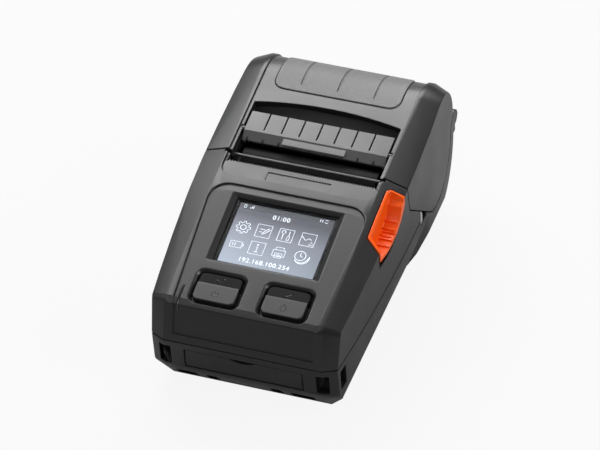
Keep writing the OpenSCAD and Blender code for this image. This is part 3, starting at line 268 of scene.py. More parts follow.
# Lathe and drawing marks: rings or streaks one way across the metal
machining, given, out = new_group("machining",
    {"Stretch": ("NodeSocketVector", (60, 4000, 4000)), "Roughness": ("NodeSocketFloat", 0.3)},
    {"Height": "NodeSocketFloat", "Roughness": "NodeSocketFloat"})
place = put(machining, "ShaderNodeTexCoord")
drawn = put(machining, "ShaderNodeVectorMath", operation="MULTIPLY")
lines = put(machining, "ShaderNodeTexNoise", Scale=1.0, Detail=3.0, Roughness=0.6)
machining.links.new(place.outputs["Object"], drawn.inputs[0])
machining.links.new(given.outputs["Stretch"], drawn.inputs[1])
machining.links.new(drawn.outputs[0], lines.inputs["Vector"])
machining.links.new(lines.outputs[0], out.inputs["Height"])
machining.links.new(calc(machining, "ADD", given.outputs["Roughness"],
                         calc(machining, "MULTIPLY", lines.outputs[0], 0.12)), out.inputs["Roughness"])

TOOL_MARK = 0.004 * MM


def metal(name, colour, rough, stretch=(60, 4000, 4000)):
    """A bare or plated metal with its machining marks."""
    made = moulded(name, colour, rough, depth=0, metal=1.0, drift=0.12)
    tree = made.node_tree
    shader = tree.nodes["Principled BSDF"]
    worked = put(tree, "ShaderNodeGroup", node_tree=machining)
    worked.inputs["Stretch"].default_value = stretch
    worked.inputs["Roughness"].default_value = rough
    bump = put(tree, "ShaderNodeBump", Strength=0.5, Distance=TOOL_MARK)
    tree.links.new(worked.outputs["Height"], bump.inputs["Height"])
    tree.links.new(bump.outputs["Normal"], shader.inputs["Normal"])
    tree.links.new(worked.outputs["Roughness"], shader.inputs["Roughness"])
    return made


turned_brass = metal("turned_brass", (0.66, 0.47, 0.2), 0.25, stretch=(900, 900, 9000))
fair("clip_inserts", turned_brass, bevel=0.12)


def block(shape, low, high, soft=0.0, steps=2):
    """Adds a box between two corners, with its edges rounded by soft."""
    low, high = Vector(low), Vector(high)
    made = bmesh.ops.create_cube(shape, size=1.0, matrix=Matrix.Translation((low + high) / 2)
                                 @ Matrix.Diagonal((*(high - low), 1.0)))["verts"]
    if soft:
        bmesh.ops.bevel(shape, geom=list({e for v in made for e in v.link_edges}), offset=soft,
                        segments=steps, profile=0.5, affect="EDGES", material=-1, clamp_overlap=True)


def rod(shape, start, end, radius, sides=24, soft=0.0):
    """Adds a round bar from start to end, with its rims rounded by soft."""
    start, end = Vector(start), Vector(end)
    turn = (end - start).to_track_quat("Z", "Y").to_matrix().to_4x4()
    made = bmesh.ops.create_cone(shape, cap_ends=True, segments=sides, radius1=radius,
                                 radius2=radius, depth=(end - start).length,
                                 matrix=Matrix.Translation((start + end) / 2) @ turn)["verts"]
    if soft:
        rims = [e for e in {e for v in made for e in v.link_edges}
                if any(len(f.verts) > 4 for f in e.link_faces)]
        bmesh.ops.bevel(shape, geom=rims, offset=soft, segments=2, profile=0.5, affect="EDGES",
                        material=-1, clamp_overlap=True)


def keep(shape, name, body, material, *stands_for, placed=UPRIGHT, bevel=0.0, slot=None):
    """Finishes a shape drawn in millimetres as a piece, with its seams closed."""
    bmesh.ops.remove_doubles(shape, verts=shape.verts, dist=1e-4)
    bmesh.ops.transform(shape, matrix=placed, verts=shape.verts)
    bmesh.ops.recalc_face_normals(shape, faces=shape.faces)
    mesh = bpy.data.meshes.new(name)
    shape.to_mesh(mesh)
    shape.free()
    return finish_piece(mesh, name, body, material, *stands_for, bevel=bevel, slot=slot)


# ---- Label roll bay and guides ---------------------------------------------------------------
# A drop-in trough of thin black plastic with two sliding plates that centre the roll, tied to each
# other by racks on a pinion under the floor.

BAY_MIDDLE, BAY_HEIGHT, BAY_RADIUS = 119.0, 34.0, 25.6
inner_black = moulded("inner_black", (0.009, 0.009, 0.0093), 0.55, size=0.3 * MM, depth=0.015, shine=0.3)
gear_white = moulded("gear_white", (0.62, 0.59, 0.5), 0.38, depth=0.004, drift=0.08)
guide_grey = moulded("guide_grey", (0.05, 0.05, 0.052), 0.4, depth=0.01)
fair("roll_bay", inner_black, bevel=0.2)
fair("guide_left", guide_grey, bevel=0.25)
fair("guide_right", guide_grey, bevel=0.25)
fair("guide_pinion", gear_white, bevel=0.06)

# Low ribs that carry the roll, swept round the inside of the trough
RIBS_AT, RIB_WIDTH, RIB_HEIGHT, RIB_REACH = (-24, -12, 12, 24), 0.8, 0.5, math.radians(58)
RIB_FOOT = BAY_HEIGHT - BAY_RADIUS + 0.15
ribs = bmesh.new()
for x in RIBS_AT:
    section = bmesh.ops.create_grid(ribs, x_segments=1, y_segments=1, size=0.5,
                                    matrix=Matrix.Translation((x, BAY_MIDDLE, RIB_FOOT))
                                    @ Matrix.Rotation(math.radians(90), 4, "X")
                                    @ Matrix.Diagonal((RIB_WIDTH, RIB_HEIGHT, 1, 1)))["verts"]
    bmesh.ops.rotate(ribs, verts=section, cent=(x, BAY_MIDDLE, BAY_HEIGHT),
                     matrix=Matrix.Rotation(-RIB_REACH, 3, "X"))
    bmesh.ops.spin(ribs, geom=section + section[0].link_faces[:], cent=(x, BAY_MIDDLE, BAY_HEIGHT),
                   axis=(1, 0, 0), angle=2 * RIB_REACH, steps=28, use_merge=False)
keep(ribs, "bay_ribs", "case", inner_black, slot="inner_black")

# Finger pads on top of the guides, three ridges each
GUIDE_OUT, PAD_FOOT, PAD_TOP, PAD_STEP = 30.2, 44.4, 45.2, 3
for node, x in (("guide_right", GUIDE_OUT), ("guide_left", -GUIDE_OUT)):
    pads = bmesh.new()
    for i in range(3):
        y = BAY_MIDDLE - 5 + PAD_STEP * i
        block(pads, (x - 0.95, y, PAD_FOOT), (x + 0.95, y + 1.4, PAD_TOP), 0.3)
    keep(pads, node + "_pads", body_of(node), guide_grey, slot="inner_black")

# ---- Circuit boards --------------------------------------------------------------------------
# Green glass-fibre boards with their parts: processor and memory in black packages, the radio under
# its tin can, pin headers, capacitors and the round buzzer.

BOARD_TOP, CAN_TOP, CAN_HOLE_STEP, BUZZER_TOP = 27.6, 30.0, 2.2, 31.5
board_green = moulded("board_green", (0.012, 0.1, 0.035), 0.3, size=1.1 * MM, depth=0.01, coat=0.5)
chip_black = moulded("chip_black", (0.02, 0.02, 0.021), 0.55, depth=0.008)
tinned = metal("tinned", (0.6, 0.61, 0.62), 0.32, stretch=(300, 300, 300))
tan_ceramic = moulded("tan_ceramic", (0.45, 0.33, 0.2), 0.5, depth=0.004)
for node in ("main_board", "key_board", "port_board"):
    fair(node, board_green, bevel=0.1)
fair("radio_module", tinned, bevel=0.25)
fair("buzzer", chip_black, bevel=0.3)
chips = bmesh.new()
for x, y, width, length, height in ((-20, 14, 11, 11, 1.4), (-4, 16, 9, 7, 1.1), (-22, 32, 7, 5, 1.2),
                                    (-6, 50, 8, 5, 1.3), (12, 12, 10, 6, 1.3)):
    block(chips, (x, y, BOARD_TOP), (x + width, y + length, BOARD_TOP + height), 0.2)
keep(chips, "board_chips", "case", chip_black, slot="inner_black")
small = bmesh.new()
for i in range(14):                # a staggered row across the board, then a close one by the head
    x, y = -24 + 3.6 * i, 29 if i % 2 else 27.2
    block(small, (x, y, BOARD_TOP), (x + 1.6, y + 0.8, BOARD_TOP + 0.8), 0.1)
for i in range(8):
    x = 4 + 2.4 * i
    block(small, (x, 52, BOARD_TOP), (x + 1.2, 53.9, BOARD_TOP + 1.0), 0.12)
keep(small, "board_capacitors", "case", tan_ceramic, slot="gear_white")
headers = bmesh.new()
for x, y, width in ((-25, 9, 12), (6, 54, 14), (-18, 54, 10)):
    block(headers, (x, y, BOARD_TOP), (x + width, y + 3, BOARD_TOP + 3.2), 0.25)
keep(headers, "board_headers", "case", gear_white, slot="gear_white")
# The can's holes and the buzzer's sound hole are not cut: they are dark discs laid on the tops, painted
# shade
hole_shade = bmesh.new()
for i in range(6):
    for j in range(5):
        x, y = 10.5 + CAN_HOLE_STEP * i, 36.5 + CAN_HOLE_STEP * j
        rod(hole_shade, (x, y, CAN_TOP - 0.05), (x, y, CAN_TOP + 0.03), 0.4, sides=10)
rod(hole_shade, (-16, 44, BUZZER_TOP), (-16, 44, BUZZER_TOP + 0.15), 0.9, sides=20)
keep(hole_shade, "can_hole_shade", "case", chip_black, slot="inner_black")

# ---- Sockets and the front flap --------------------------------------------------------------
# An oval data socket and a round power inlet on their own small board, behind a rubbery flap that
# swings down on two moulded pins and has a notch for a fingernail.

DATA_X, DATA_Z, INLET_X, INLET_Z = -11.5, 17.8, 8.5, 18.2
spring_steel = metal("spring_steel", (0.5, 0.51, 0.53), 0.24)
fair("usb_socket", tinned, bevel=0.5, segments=3)
fair("power_socket", inner_black, bevel=0.3)
tongue = bmesh.new()
block(tongue, (DATA_X - 3.1, 9, DATA_Z - 0.35), (DATA_X + 3.1, 13.9, DATA_Z + 0.35), 0.1)
keep(tongue, "data_tongue", "case", chip_black, slot="inner_black")
pins = bmesh.new()
for i in range(8):
    x = DATA_X - 2.5 + 0.7 * i
    for z in (DATA_Z - 0.42, DATA_Z + 0.3):
        block(pins, (x, 9.2, z), (x + 0.35, 13, z + 0.1), 0.02, 1)
rod(pins, (INLET_X, 8, INLET_Z), (INLET_X, 16, INLET_Z), 0.85, sides=20, soft=0.2)
keep(pins, "socket_contacts", "case", turned_brass, slot="brass")
flap_rubber = moulded("flap_rubber", (0.021, 0.021, 0.022), 0.5, depth=0.012, rubbed=0.3)
fair("port_cover", flap_rubber, bevel=0.35, segments=3)

# ---- Motor and gear train ----------------------------------------------------------------------
# A small stepper motor with a brass pinion on a zinc-plated plate, and a white acetal idler that
# meets the platen's gear when the lid is shut.

zinc_plate = metal("zinc_plate", (0.36, 0.37, 0.4), 0.36, stretch=(500, 500, 500))
fair("gear_plate", zinc_plate, bevel=0.15)
fair("motor", zinc_plate, bevel=0.4, segments=3)
fair("motor_pinion", turned_brass, bevel=0.05)
fair("idler_gear", gear_white, bevel=0.06)

# ---- Print head, its springs and chassis -------------------------------------------------------
# A glazed ceramic strip with the line of heating dots, on a finned dark aluminium block that two
# springs press towards the platen, all held in a folded steel chassis.

blackened = metal("blackened_alloy", (0.035, 0.035, 0.037), 0.45, stretch=(2000, 60, 60))
slot_black = moulded("slot_black", (0.007, 0.007, 0.0072), 0.6, depth=0.01, shine=0.2)
head_glaze = moulded("head_glaze", (0.4, 0.34, 0.22), 0.16, depth=0, drift=0.06, coat=0.6)
fair("print_head", head_glaze, bevel=0.12)
fair("print_chassis", slot_black, bevel=0.12)
fair("gap_sensor", inner_black, bevel=0.2)

# A slab cut into strips, every second of which is sunk to leave a fin on each side of it
HEAD_WIDE, STRIPS, FIN_HIGH = 59, 40, 0.9
sink = bmesh.new()
block(sink, (-HEAD_WIDE / 2, 79.4, 43), (HEAD_WIDE / 2, 81, 54.8))
for i in range(1, STRIPS):
    bmesh.ops.bisect_plane(sink, geom=sink.verts[:] + sink.edges[:] + sink.faces[:], dist=1e-4,
                           plane_co=(HEAD_WIDE * (i / STRIPS - 0.5), 0, 0), plane_no=(1, 0, 0))
fins = [f for f in sink.faces if f.normal.y < -0.9
        and int((f.calc_center_median().x / HEAD_WIDE + 0.5) * STRIPS) % 2]
bmesh.ops.inset_individual(sink, faces=fins, thickness=0.08, depth=-FIN_HIGH)
keep(sink, "head_fins", "head", blackened, "head_heatsink", slot=SLOTS["head_heatsink"])
DOTS_OUT = 27.6
dots = bmesh.new()
rod(dots, (-DOTS_OUT, 81.95, 49.5), (DOTS_OUT, 81.95, 49.5), 0.22, sides=10, soft=0.05)
keep(dots, "heater_line", "head", chip_black, slot="head_glaze")


def coil(node, material):
    """A spring's solid, rounded by subdivision."""
    mesh = frame["nodes"][node].data.copy()
    shape = bmesh.new()
    shape.from_mesh(mesh)
    bmesh.ops.remove_doubles(shape, verts=shape.verts, dist=2e-6)
    shape.to_mesh(mesh)
    shape.free()
    piece = finish_piece(mesh, node + "_wire", body_of(node), material, node, slot=SLOTS[node])
    piece.modifiers.clear()
    wound = piece.modifiers.new("round_wire", "SUBSURF")
    wound.levels = wound.render_levels = 1


coil("head_springs", spring_steel)

# ---- Latch and release lever -------------------------------------------------------------------
# Two stamped hooks on a steel shaft hold the lid's studs. The glossy orange lever turns them back:
# it is a hollowed thumb rest with three grip ridges, pushed down at its front.

lever_orange = moulded("lever_orange", (1.0, 0.112, 0.002), 0.36, depth=0.003, drift=0.04, coat=0.1,
                       shine=0.35)
coil("latch_spring", spring_steel)
fair("latch_shaft", spring_steel, bevel=0.15)
fair("latch_hooks", zinc_plate, bevel=0.1)
fair("release_lever", lever_orange, bevel=0.38, segments=3, angle=24)

# The grip ridges, each a little lower than the one behind it, as the rest's floor falls
RIDGE_INNER, RIDGE_OUTER, RIDGE_HALF = 38.2, 43.25, 0.42
ridges = bmesh.new()
for y, floor_z in ((70.2, 48.72), (66.9, 47.45), (63.6, 46.42)):
    block(ridges, (RIDGE_INNER, y - RIDGE_HALF, floor_z - 0.6),
          (RIDGE_OUTER, y + RIDGE_HALF, floor_z + 0.55), 0.3, 3)
keep(ridges, "lever_ridges", "latch", lever_orange, slot="lever_orange")

# ---- Top shell -----------------------------------------------------------------------------------
# The second half of the case, in the same moulding material, screwed up from below. A sunk panel
# takes the screen and the keys, with a bevelled rim round each key well.

fair("upper_case", shell_black, bevel=0.3, segments=3, angle=24)

# ---- Screen ----------------------------------------------------------------------------------------
# A colour display under a clear window that is coated against glare, with a foam frame between
# them. The picture is a menu of eight line drawings under a dark status strip.

PANEL_SLOPE = math.radians(11.7)
PANEL = UPRIGHT @ Matrix.Translation((0, 7, 45.5)) @ Matrix.Rotation(PANEL_SLOPE, 4, "X")
GLOW_DEPTH, INK = -3.78, 0.02
LIT_LOW, LIT_HIGH, LIT_SIDE = 23.5, 53.5, 20.4

glass = bpy.data.materials.new("window_glass")
glass.use_nodes = True
shader = glass.node_tree.nodes["Principled BSDF"]
shader.inputs["Base Color"].default_value = (0.93, 0.95, 0.97, 1)
shader.inputs["Roughness"].default_value = 0.01
shader.inputs["Transmission Weight"].default_value = 1.0
shader.inputs["IOR"].default_value = 1.15
fair("screen_lens", glass, bevel=0.0)
fair("screen_gasket", inner_black, bevel=0.05)
fair("lcd_module", blackened, bevel=0.2)

# The picture's glow is bluish at its foot, grey at its top, and falls off to the right
GLOW_FOOT, GLOW_HEAD, GLOW_MIDDLE, GLOW_FALL = -47.8 * MM, -19.5 * MM, 0.9, 9.0
picture = bpy.data.materials.new("lit_picture")
picture.use_nodes = True
tree = picture.node_tree
shader = tree.nodes["Principled BSDF"]
shader.inputs["Base Color"].default_value = (0.02, 0.02, 0.025, 1)
shader.inputs["Roughness"].default_value = 0.5
shader.inputs["Specular IOR Level"].default_value = 0.1
shader.inputs["Emission Strength"].default_value = 1.0
place = put(tree, "ShaderNodeTexCoord")
axes = put(tree, "ShaderNodeSeparateXYZ")
climb = put(tree, "ShaderNodeMapRange", From_Min=GLOW_FOOT, From_Max=GLOW_HEAD)
tint = put(tree, "ShaderNodeValToRGB")
stops = tint.color_ramp.elements
stops[1].position = 0.9
stops.new(0.55)
for stop, colour in zip(stops, ((0.5, 0.56, 0.64), (0.37, 0.39, 0.45), (0.15, 0.15, 0.17))):
    stop.color = (*colour, 1)
fade = put(tree, "ShaderNodeVectorMath", operation="SCALE")
tree.links.new(place.outputs["Object"], axes.inputs[0])
tree.links.new(axes.outputs["Y"], climb.inputs["Value"])
tree.links.new(climb.outputs[0], tint.inputs[0])
tree.links.new(tint.outputs[0], fade.inputs[0])
tree.links.new(calc(tree, "SUBTRACT", GLOW_MIDDLE, calc(tree, "MULTIPLY", axes.outputs["X"], GLOW_FALL)),
               fade.inputs["Scale"])
tree.links.new(fade.outputs[0], shader.inputs["Emission Color"])
face = bmesh.new()
block(face, (-LIT_SIDE, LIT_LOW, GLOW_DEPTH - 0.1), (LIT_SIDE, LIT_HIGH, GLOW_DEPTH), 0.02, 1)
keep(face, "display_picture", "case", picture, placed=PANEL, slot="display")


def glowing(name, colour):
    """A flat part of the picture."""
    made = moulded(name, colour, 0.4, depth=0)
    shader = made.node_tree.nodes["Principled BSDF"]
    shader.inputs["Emission Color"].default_value = (*colour, 1)
    shader.inputs["Emission Strength"].default_value = 1.0
    return made


def strokes(shape, drawn, width, height=INK, level=0.0):
    """Adds flat ribbons along lists of points; one that ends where it starts is closed."""
    curve = bpy.data.curves.new("strokes", "CURVE")
    curve.dimensions = "3D"
    curve.bevel_depth = width / 2
    curve.bevel_resolution = 1
    curve.use_fill_caps = True
    for points in drawn:
        closed = points[0] == points[-1]
        kept = points[:-1] if closed else points
        line = curve.splines.new("POLY")
        line.points.add(len(kept) - 1)
        for mark, (x, s) in zip(line.points, kept):
            mark.co = (x, s, 0, 1)
        line.use_cyclic_u = closed
    holder = bpy.data.objects.new("strokes", curve)
    mesh = bpy.data.meshes.new_from_object(holder)
    mesh.transform(Matrix.Translation((0, 0, level)) @ Matrix.Diagonal((1, 1, height / width, 1)))
    shape.from_mesh(mesh)
    bpy.data.objects.remove(holder)
    bpy.data.curves.remove(curve)
    bpy.data.meshes.remove(mesh)


def figures(shape, text, size, x, s, level, spread):
    """Adds a row of figures whose middle is at x and whose foot is at s, up the panel."""
    curve = bpy.data.curves.new("figures", "FONT")
    curve.body = text
    curve.size = size
    curve.align_x = "CENTER"
    curve.space_character = spread
    curve.extrude = INK / 2
    holder = bpy.data.objects.new("figures", curve)
    mesh = bpy.data.meshes.new_from_object(holder)
    mesh.transform(Matrix.Translation((x, s, level)))
    shape.from_mesh(mesh)
    bpy.data.objects.remove(holder)
    bpy.data.curves.remove(curve)
    bpy.data.meshes.remove(mesh)


def arc(x, s, radius, start=0, end=360, count=20):
    """Points round an arc, closed when it is a full turn."""
    turns = [math.radians(start + (end - start) * i / count) for i in range(count + 1)]
    points = [(round(x + radius * math.cos(turn), 4), round(s + radius * math.sin(turn), 4))
              for turn in turns]
    return points[:-1] + [points[0]] if abs(end - start) == 360 else points


def frame_line(x, s, w, h):
    """A rectangle's outline about its middle."""
    return [(x - w, s - h), (x + w, s - h), (x + w, s + h), (x - w, s + h), (x - w, s - h)]


white_line = glowing("white_line", (0.72, 0.76, 0.8))
status_dark = glowing("status_dark", (0.03, 0.03, 0.036))
strip = bmesh.new()
block(strip, (-LIT_SIDE, LIT_HIGH - 2.9, GLOW_DEPTH), (LIT_SIDE, LIT_HIGH, GLOW_DEPTH + INK))
keep(strip, "status_strip", "case", status_dark, placed=PANEL, slot="display")

# Line drawings, in millimetres across (x) and up the panel (s)
ROW_HIGH, ROW_LOW, COLUMNS, TILE = 41.7, 32.9, (-15.4, -6.6, 2.9, 12.5), 3.1
menu = []
x, s = COLUMNS[0], ROW_HIGH        # toothed wheel
teeth = [(x + r * math.cos(math.radians(a)), s + r * math.sin(math.radians(a)))
         for k in range(8)
         for a, r in ((45 * k - 13, 2.3), (45 * k - 9, 3.1), (45 * k + 9, 3.1), (45 * k + 13, 2.3))]
menu += [teeth + [teeth[0]], arc(x, s, 1.2)]
x = COLUMNS[1]                     # sheet and pencil
menu += [frame_line(x, s, TILE, TILE),
         [(x - 1.8, s + 0.8), (x + 0.4, s + 0.8)], [(x - 1.8, s - 0.6), (x - 0.4, s - 0.6)],
         [(x - 0.3, s - 1.7), (x + 0.3, s - 0.1), (x + 2, s + 1.7)],
         [(x - 0.3, s - 1.7), (x + 0.9, s - 0.8), (x + 2.6, s + 1.1)]]
x = COLUMNS[2]                     # tools
menu += [frame_line(x, s, TILE, TILE),
         arc(x - 1.2, s + 1.5, 0.8, -60, 240), [(x - 1.2, s + 0.7), (x - 1.2, s - 2.2)],
         [(x + 1.3, s + 2.3), (x + 1.3, s)], frame_line(x + 1.3, s - 1.2, 0.45, 1.1)]
x = COLUMNS[3]                     # picture and warning triangle
menu += [frame_line(x, s, TILE, TILE),
         [(x - 3.1, s + 1.6), (x - 1, s - 0.4), (x + 0.4, s + 0.8), (x + 1.5, s + 0.1)],
         [(x + 0.9, s - 2.4), (x + 2.7, s - 2.4), (x + 1.8, s - 0.7), (x + 0.9, s - 2.4)]]
x, s = COLUMNS[0], ROW_LOW         # battery
menu += [frame_line(x - 0.2, s, 2.5, 1.5),
         [(x + 2.4, s - 0.5), (x + 2.9, s - 0.5), (x + 2.9, s + 0.5), (x + 2.4, s + 0.5)],
         [(x - 1.6, s - 0.7), (x - 1.6, s + 0.7)], [(x - 0.6, s - 0.7), (x - 0.6, s + 0.7)]]
x = COLUMNS[1]                     # help sign
menu += [frame_line(x, s, TILE, TILE), arc(x, s + 1.7, 0.3, count=8),
         [(x - 0.6, s + 0.6), (x + 0.1, s + 0.6), (x + 0.1, s - 1.8)],
         [(x - 0.8, s - 1.8), (x + 0.9, s - 1.8)]]
x = COLUMNS[2]                     # printer
menu += [frame_line(x, s - 0.3, 2.6, 1.5), frame_line(x, s + 1.9, 1.7, 0.7),
         frame_line(x, s - 1.5, 1.5, 1.1),
         [(x - 0.8, s - 1.2), (x + 0.8, s - 1.2)], [(x - 0.8, s - 1.9), (x + 0.8, s - 1.9)]]
x = COLUMNS[3]                     # clock and moon
menu += [arc(x - 0.5, s + 0.5, 2.3), [(x - 0.5, s + 1.9), (x - 0.5, s + 0.5), (x + 0.6, s)],
         arc(x + 0.4, s - 0.2, 3.1, -150, 20), arc(x - 0.1, s + 0.3, 3.2, -128, -2)]

# Status marks in the strip: a small battery and three signal bars at the left, two pairs at the right
menu += [frame_line(-17.9, 52.1, 0.45, 0.7), [(-15.6, 51.4), (-15.6, 51.9)],
         [(-15.0, 51.4), (-15.0, 52.4)], [(-14.4, 51.4), (-14.4, 52.9)],
         [(14.5, 51.5), (14.5, 52.8)], [(15.4, 51.5), (15.4, 52.8)],
         [(16.5, 51.5), (17.8, 51.5)], [(16.5, 52.8), (17.8, 52.8)]]
FIGURE_SIZE, FIGURES_X = 3.0, -1.4
drawings = bmesh.new()
strokes(drawings, menu, 0.22, level=GLOW_DEPTH + INK)
figures(drawings, "01:00", FIGURE_SIZE, FIGURES_X, 48.2, GLOW_DEPTH + INK, 1.15)
figures(drawings, "192.168.100.254", FIGURE_SIZE, FIGURES_X, 25.2, GLOW_DEPTH + INK, 1.1)
keep(drawings, "display_drawings", "case", white_line, placed=PANEL, slot="display")

# ---- Keys and light guide ------------------------------------------------------------------------
# Two pairs of moulded caps on a silicone mat over their board. The rear cap of each pair is lower, and its
# colour is darkened and dulled as painted shade for the shade it sits in. A blade of dark clear plastic
# beside them shows the state of charge.

KEY_ACROSS, REAR_CAP, FRONT_CAP = 14.6, -0.9, -0.1
# The rear caps' finish is the front caps' plastic, made darker, rougher and duller as painted shade
key_dark = moulded("key_dark", (0.007, 0.007, 0.0073), 0.7, size=0.25 * MM, depth=0.02, shine=0.18)
key_grey = moulded("key_grey", (0.02, 0.02, 0.0212), 0.42, size=0.25 * MM, depth=0.008)
key_mark = moulded("key_mark", (0.004, 0.004, 0.004), 0.25, depth=0)
mat_grey = moulded("mat_grey", (0.06, 0.06, 0.062), 0.8, depth=0.02)
for node, finish in (("key_back", key_dark), ("key_power", key_grey),
                     ("key_enter", key_dark), ("key_feed", key_grey)):
    fair(node, finish, bevel=0.35, segments=3)
fair("key_mat", mat_grey, bevel=0.3)
smoked = moulded("smoked_guide", (0.02, 0.02, 0.022), 0.12, depth=0, coat=0.6)
fair("light_guide", smoked, bevel=0.12)

# Signs printed on the caps: a bent arrow, a switch, a tick and a drop
for node, drawn, level in (
        ("key_back", [[(-12.9, 11.9), (-16.3, 11.9)], [(-15.2, 12.9), (-16.4, 11.9), (-15.2, 10.9)],
                      [(-12.9, 11.9), (-12.9, 13.1), (-14.1, 13.1)]], REAR_CAP),
        ("key_power", [arc(-KEY_ACROSS, 5.0, 1.35, 125, 415),
                       [(-KEY_ACROSS, 6.9), (-KEY_ACROSS, 5.4)]], FRONT_CAP),
        ("key_enter", [[(13.1, 12.1), (14.2, 11.1), (16.4, 13.2)]], REAR_CAP),
        ("key_feed", [arc(KEY_ACROSS, 4.7, 1.2, 130, 410),
                      [(13.8, 5.6), (KEY_ACROSS, 6.9), (15.4, 5.6)]], FRONT_CAP)):
    marks = bmesh.new()
    strokes(marks, drawn, 0.38, height=0.06, level=level)
    keep(marks, node + "_sign", body_of(node), key_mark, placed=PANEL, slot="key_dark")

# ---- Tear bar ------------------------------------------------------------------------------------
# A satin bar in front of the slot with a fine serrated edge to tear against, and a sunk bare place
# where a name plate would go.

deck_grey = moulded("deck_grey", (0.058, 0.058, 0.059), 0.36, size=0.3 * MM, depth=0.01, rubbed=0.3)
fair("tear_bar", deck_grey, bevel=0.12)

# ---- Case screws -----------------------------------------------------------------------------------
# Four zinc-plated screws driven up through the bottom shell. Their six-lobed recesses are dark films,
# painted shade, not cut into the heads.


def recess_shade_film(shape, at, down, radius):
    """Adds a dark six-lobed film on a screw's head: painted shade for its recess."""
    at = Vector(at)
    made = bmesh.ops.create_circle(shape, cap_ends=True, segments=36, radius=radius,
                                   matrix=Matrix.Translation(at))["verts"]
    for v in made:
        turn = math.atan2(v.co.y - at.y, v.co.x - at.x)
        v.co = at + (v.co - at) * (1 + 0.17 * math.cos(6 * turn))
    disc = made[0].link_faces[0]
    grown = bmesh.ops.extrude_face_region(shape, geom=[disc])["geom"]
    bmesh.ops.translate(shape, vec=(0, 0, down),
                        verts=[v for v in grown if isinstance(v, bmesh.types.BMVert)])


CASE_SCREW_FACE, DRIVE_FILM = 5.22, 0.06
fair("case_screws", zinc_plate, bevel=0.2)
pits = bmesh.new()
for x, y in ((-31, 19), (31, 19), (-33, 62), (33, 62)):
    recess_shade_film(pits, (x, y, CASE_SCREW_FACE), -DRIVE_FILM, 1.25)
keep(pits, "case_screw_recess_shade", "case", chip_black, slot="plate")

# ---- Lid -------------------------------------------------------------------------------------------
# The clamshell over the roll, moulded like the case, with a satin sunk top between two long ridges.
# A coarsely stippled pad with three grooves is bonded into the top for the thumb that opens it.

DECK_HALF, DECK_LOW = 33.6 * MM, 57.5 * MM


def on_deck(face):
    """Whether a face of the lid belongs to its sunk top."""
    middle = face.calc_center_median()
    return abs(middle.x) < DECK_HALF and face.normal.z > 0.55 and middle.z > DECK_LOW


fair("lid_cover", shell_black, bevel=0.3, segments=3, angle=24, second=(deck_grey, on_deck))
pad_grey = moulded("pad_grey", (0.15, 0.149, 0.149), 0.5, size=0.62 * MM, depth=0.16, fine=0.7)
fair("lid_pad", pad_grey, bevel=0.3, segments=3, angle=24)

# ---- Lid frame and its screws ----------------------------------------------------------------------
# Black inner frame with two cheeks for the platen and the studs that the latch holds, screwed into
# the lid from below.

fair("lid_frame", inner_black, bevel=0.1)
LID_SCREW_OUT, LID_SCREW_FACE = 36.5, 48.42
fair("lid_screws", zinc_plate, bevel=0.2)
# The lid screws' recesses are dark films too, painted shade
pits = bmesh.new()
for x in (-LID_SCREW_OUT, LID_SCREW_OUT):
    recess_shade_film(pits, (x, 101, LID_SCREW_FACE), -DRIVE_FILM, 1.1)
keep(pits, "lid_screw_recess_shade", "lid", chip_black, slot="plate")

# ---- Platen ----------------------------------------------------------------------------------------
# Rubber sleeve ground to size on a steel shaft, in two plain bushes, driven through a white gear.

platen_rubber = moulded("platen_rubber", (0.008, 0.008, 0.0082), 0.7, size=0.25 * MM, depth=0.012, shine=0.2)
fair("platen_shaft", spring_steel, bevel=0.2)
fair("platen_rubber", platen_rubber, bevel=0.3)
fair("platen_bushes", gear_white, bevel=0.12)
fair("platen_gear", gear_white, bevel=0.06)

# ---- Peeling flap, its roller and bar ----------------------------------------------------------------
# A ribbed flap that swings up for peeled labels, with a raised grip on its front face and a row of
# small nibs along the lower edge; the steel roller runs in it and the bar stays on the lid's frame.

fair("peeler", deck_grey, bevel=0.18)
dark_steel = metal("dark_steel", (0.1, 0.1, 0.105), 0.4)
fair("peel_roller", dark_steel, bevel=0.15)
fair("peel_bar", dark_steel, bevel=0.15)
grip_grey = moulded("grip_grey", (0.16, 0.16, 0.16), 0.45, size=0.3 * MM, depth=0.02)
FACE_DROP = math.atan2(3.02, 3.4)
FLAP_FACE = UPRIGHT @ Matrix.Translation((0, 94.7, 60.72)) @ Matrix.Rotation(FACE_DROP, 4, "X")
GRIP_HALF, NIB_STEP, NIB_HALF = 13.6, 6.9, 0.35
grip = bmesh.new()
side = [grip.verts.new((-GRIP_HALF, *p))
        for p in ((-0.7, -0.3), (-0.7, 0.1), (-3.3, 1.5), (-3.8, 1.1), (-3.8, -0.3))]
grown = bmesh.ops.extrude_face_region(grip, geom=[grip.faces.new(side)])["geom"]
bmesh.ops.translate(grip, vec=(2 * GRIP_HALF, 0, 0),
                    verts=[v for v in grown if isinstance(v, bmesh.types.BMVert)])
bmesh.ops.bevel(grip, geom=grip.edges[:], offset=0.12, segments=2, profile=0.5, affect="EDGES",
                material=-1, clamp_overlap=True)
keep(grip, "flap_grip", "flap", grip_grey, placed=FLAP_FACE, slot="pad_grey")
nibs = bmesh.new()
for i in range(-4, 5):
    x = -1.5 + NIB_STEP * i
    block(nibs, (x - NIB_HALF, -4.1, -0.3), (x + NIB_HALF, -2.7, 0.25), 0.1)
keep(nibs, "flap_nibs", "flap", inner_black, placed=FLAP_FACE, slot="inner_black")

# ---- Hinge and side catch ------------------------------------------------------------------------------
# A plain steel pin through the lugs at the back, two coil springs that lift the lid, and a small
# grey catch at the end of the right seam.

fair("hinge_pin", spring_steel, bevel=0.15)
coil("lid_springs", spring_steel)
catch_grey = moulded("catch_grey", (0.5, 0.5, 0.49), 0.4, depth=0.008)
fair("side_catch", catch_grey, bevel=0.2)

# ---- Battery -------------------------------------------------------------------------------------------
# Lithium pack in a black case that drops in from below, with a grooved grip on its underside, four
# sprung contacts at its front end and a sliding catch behind it.

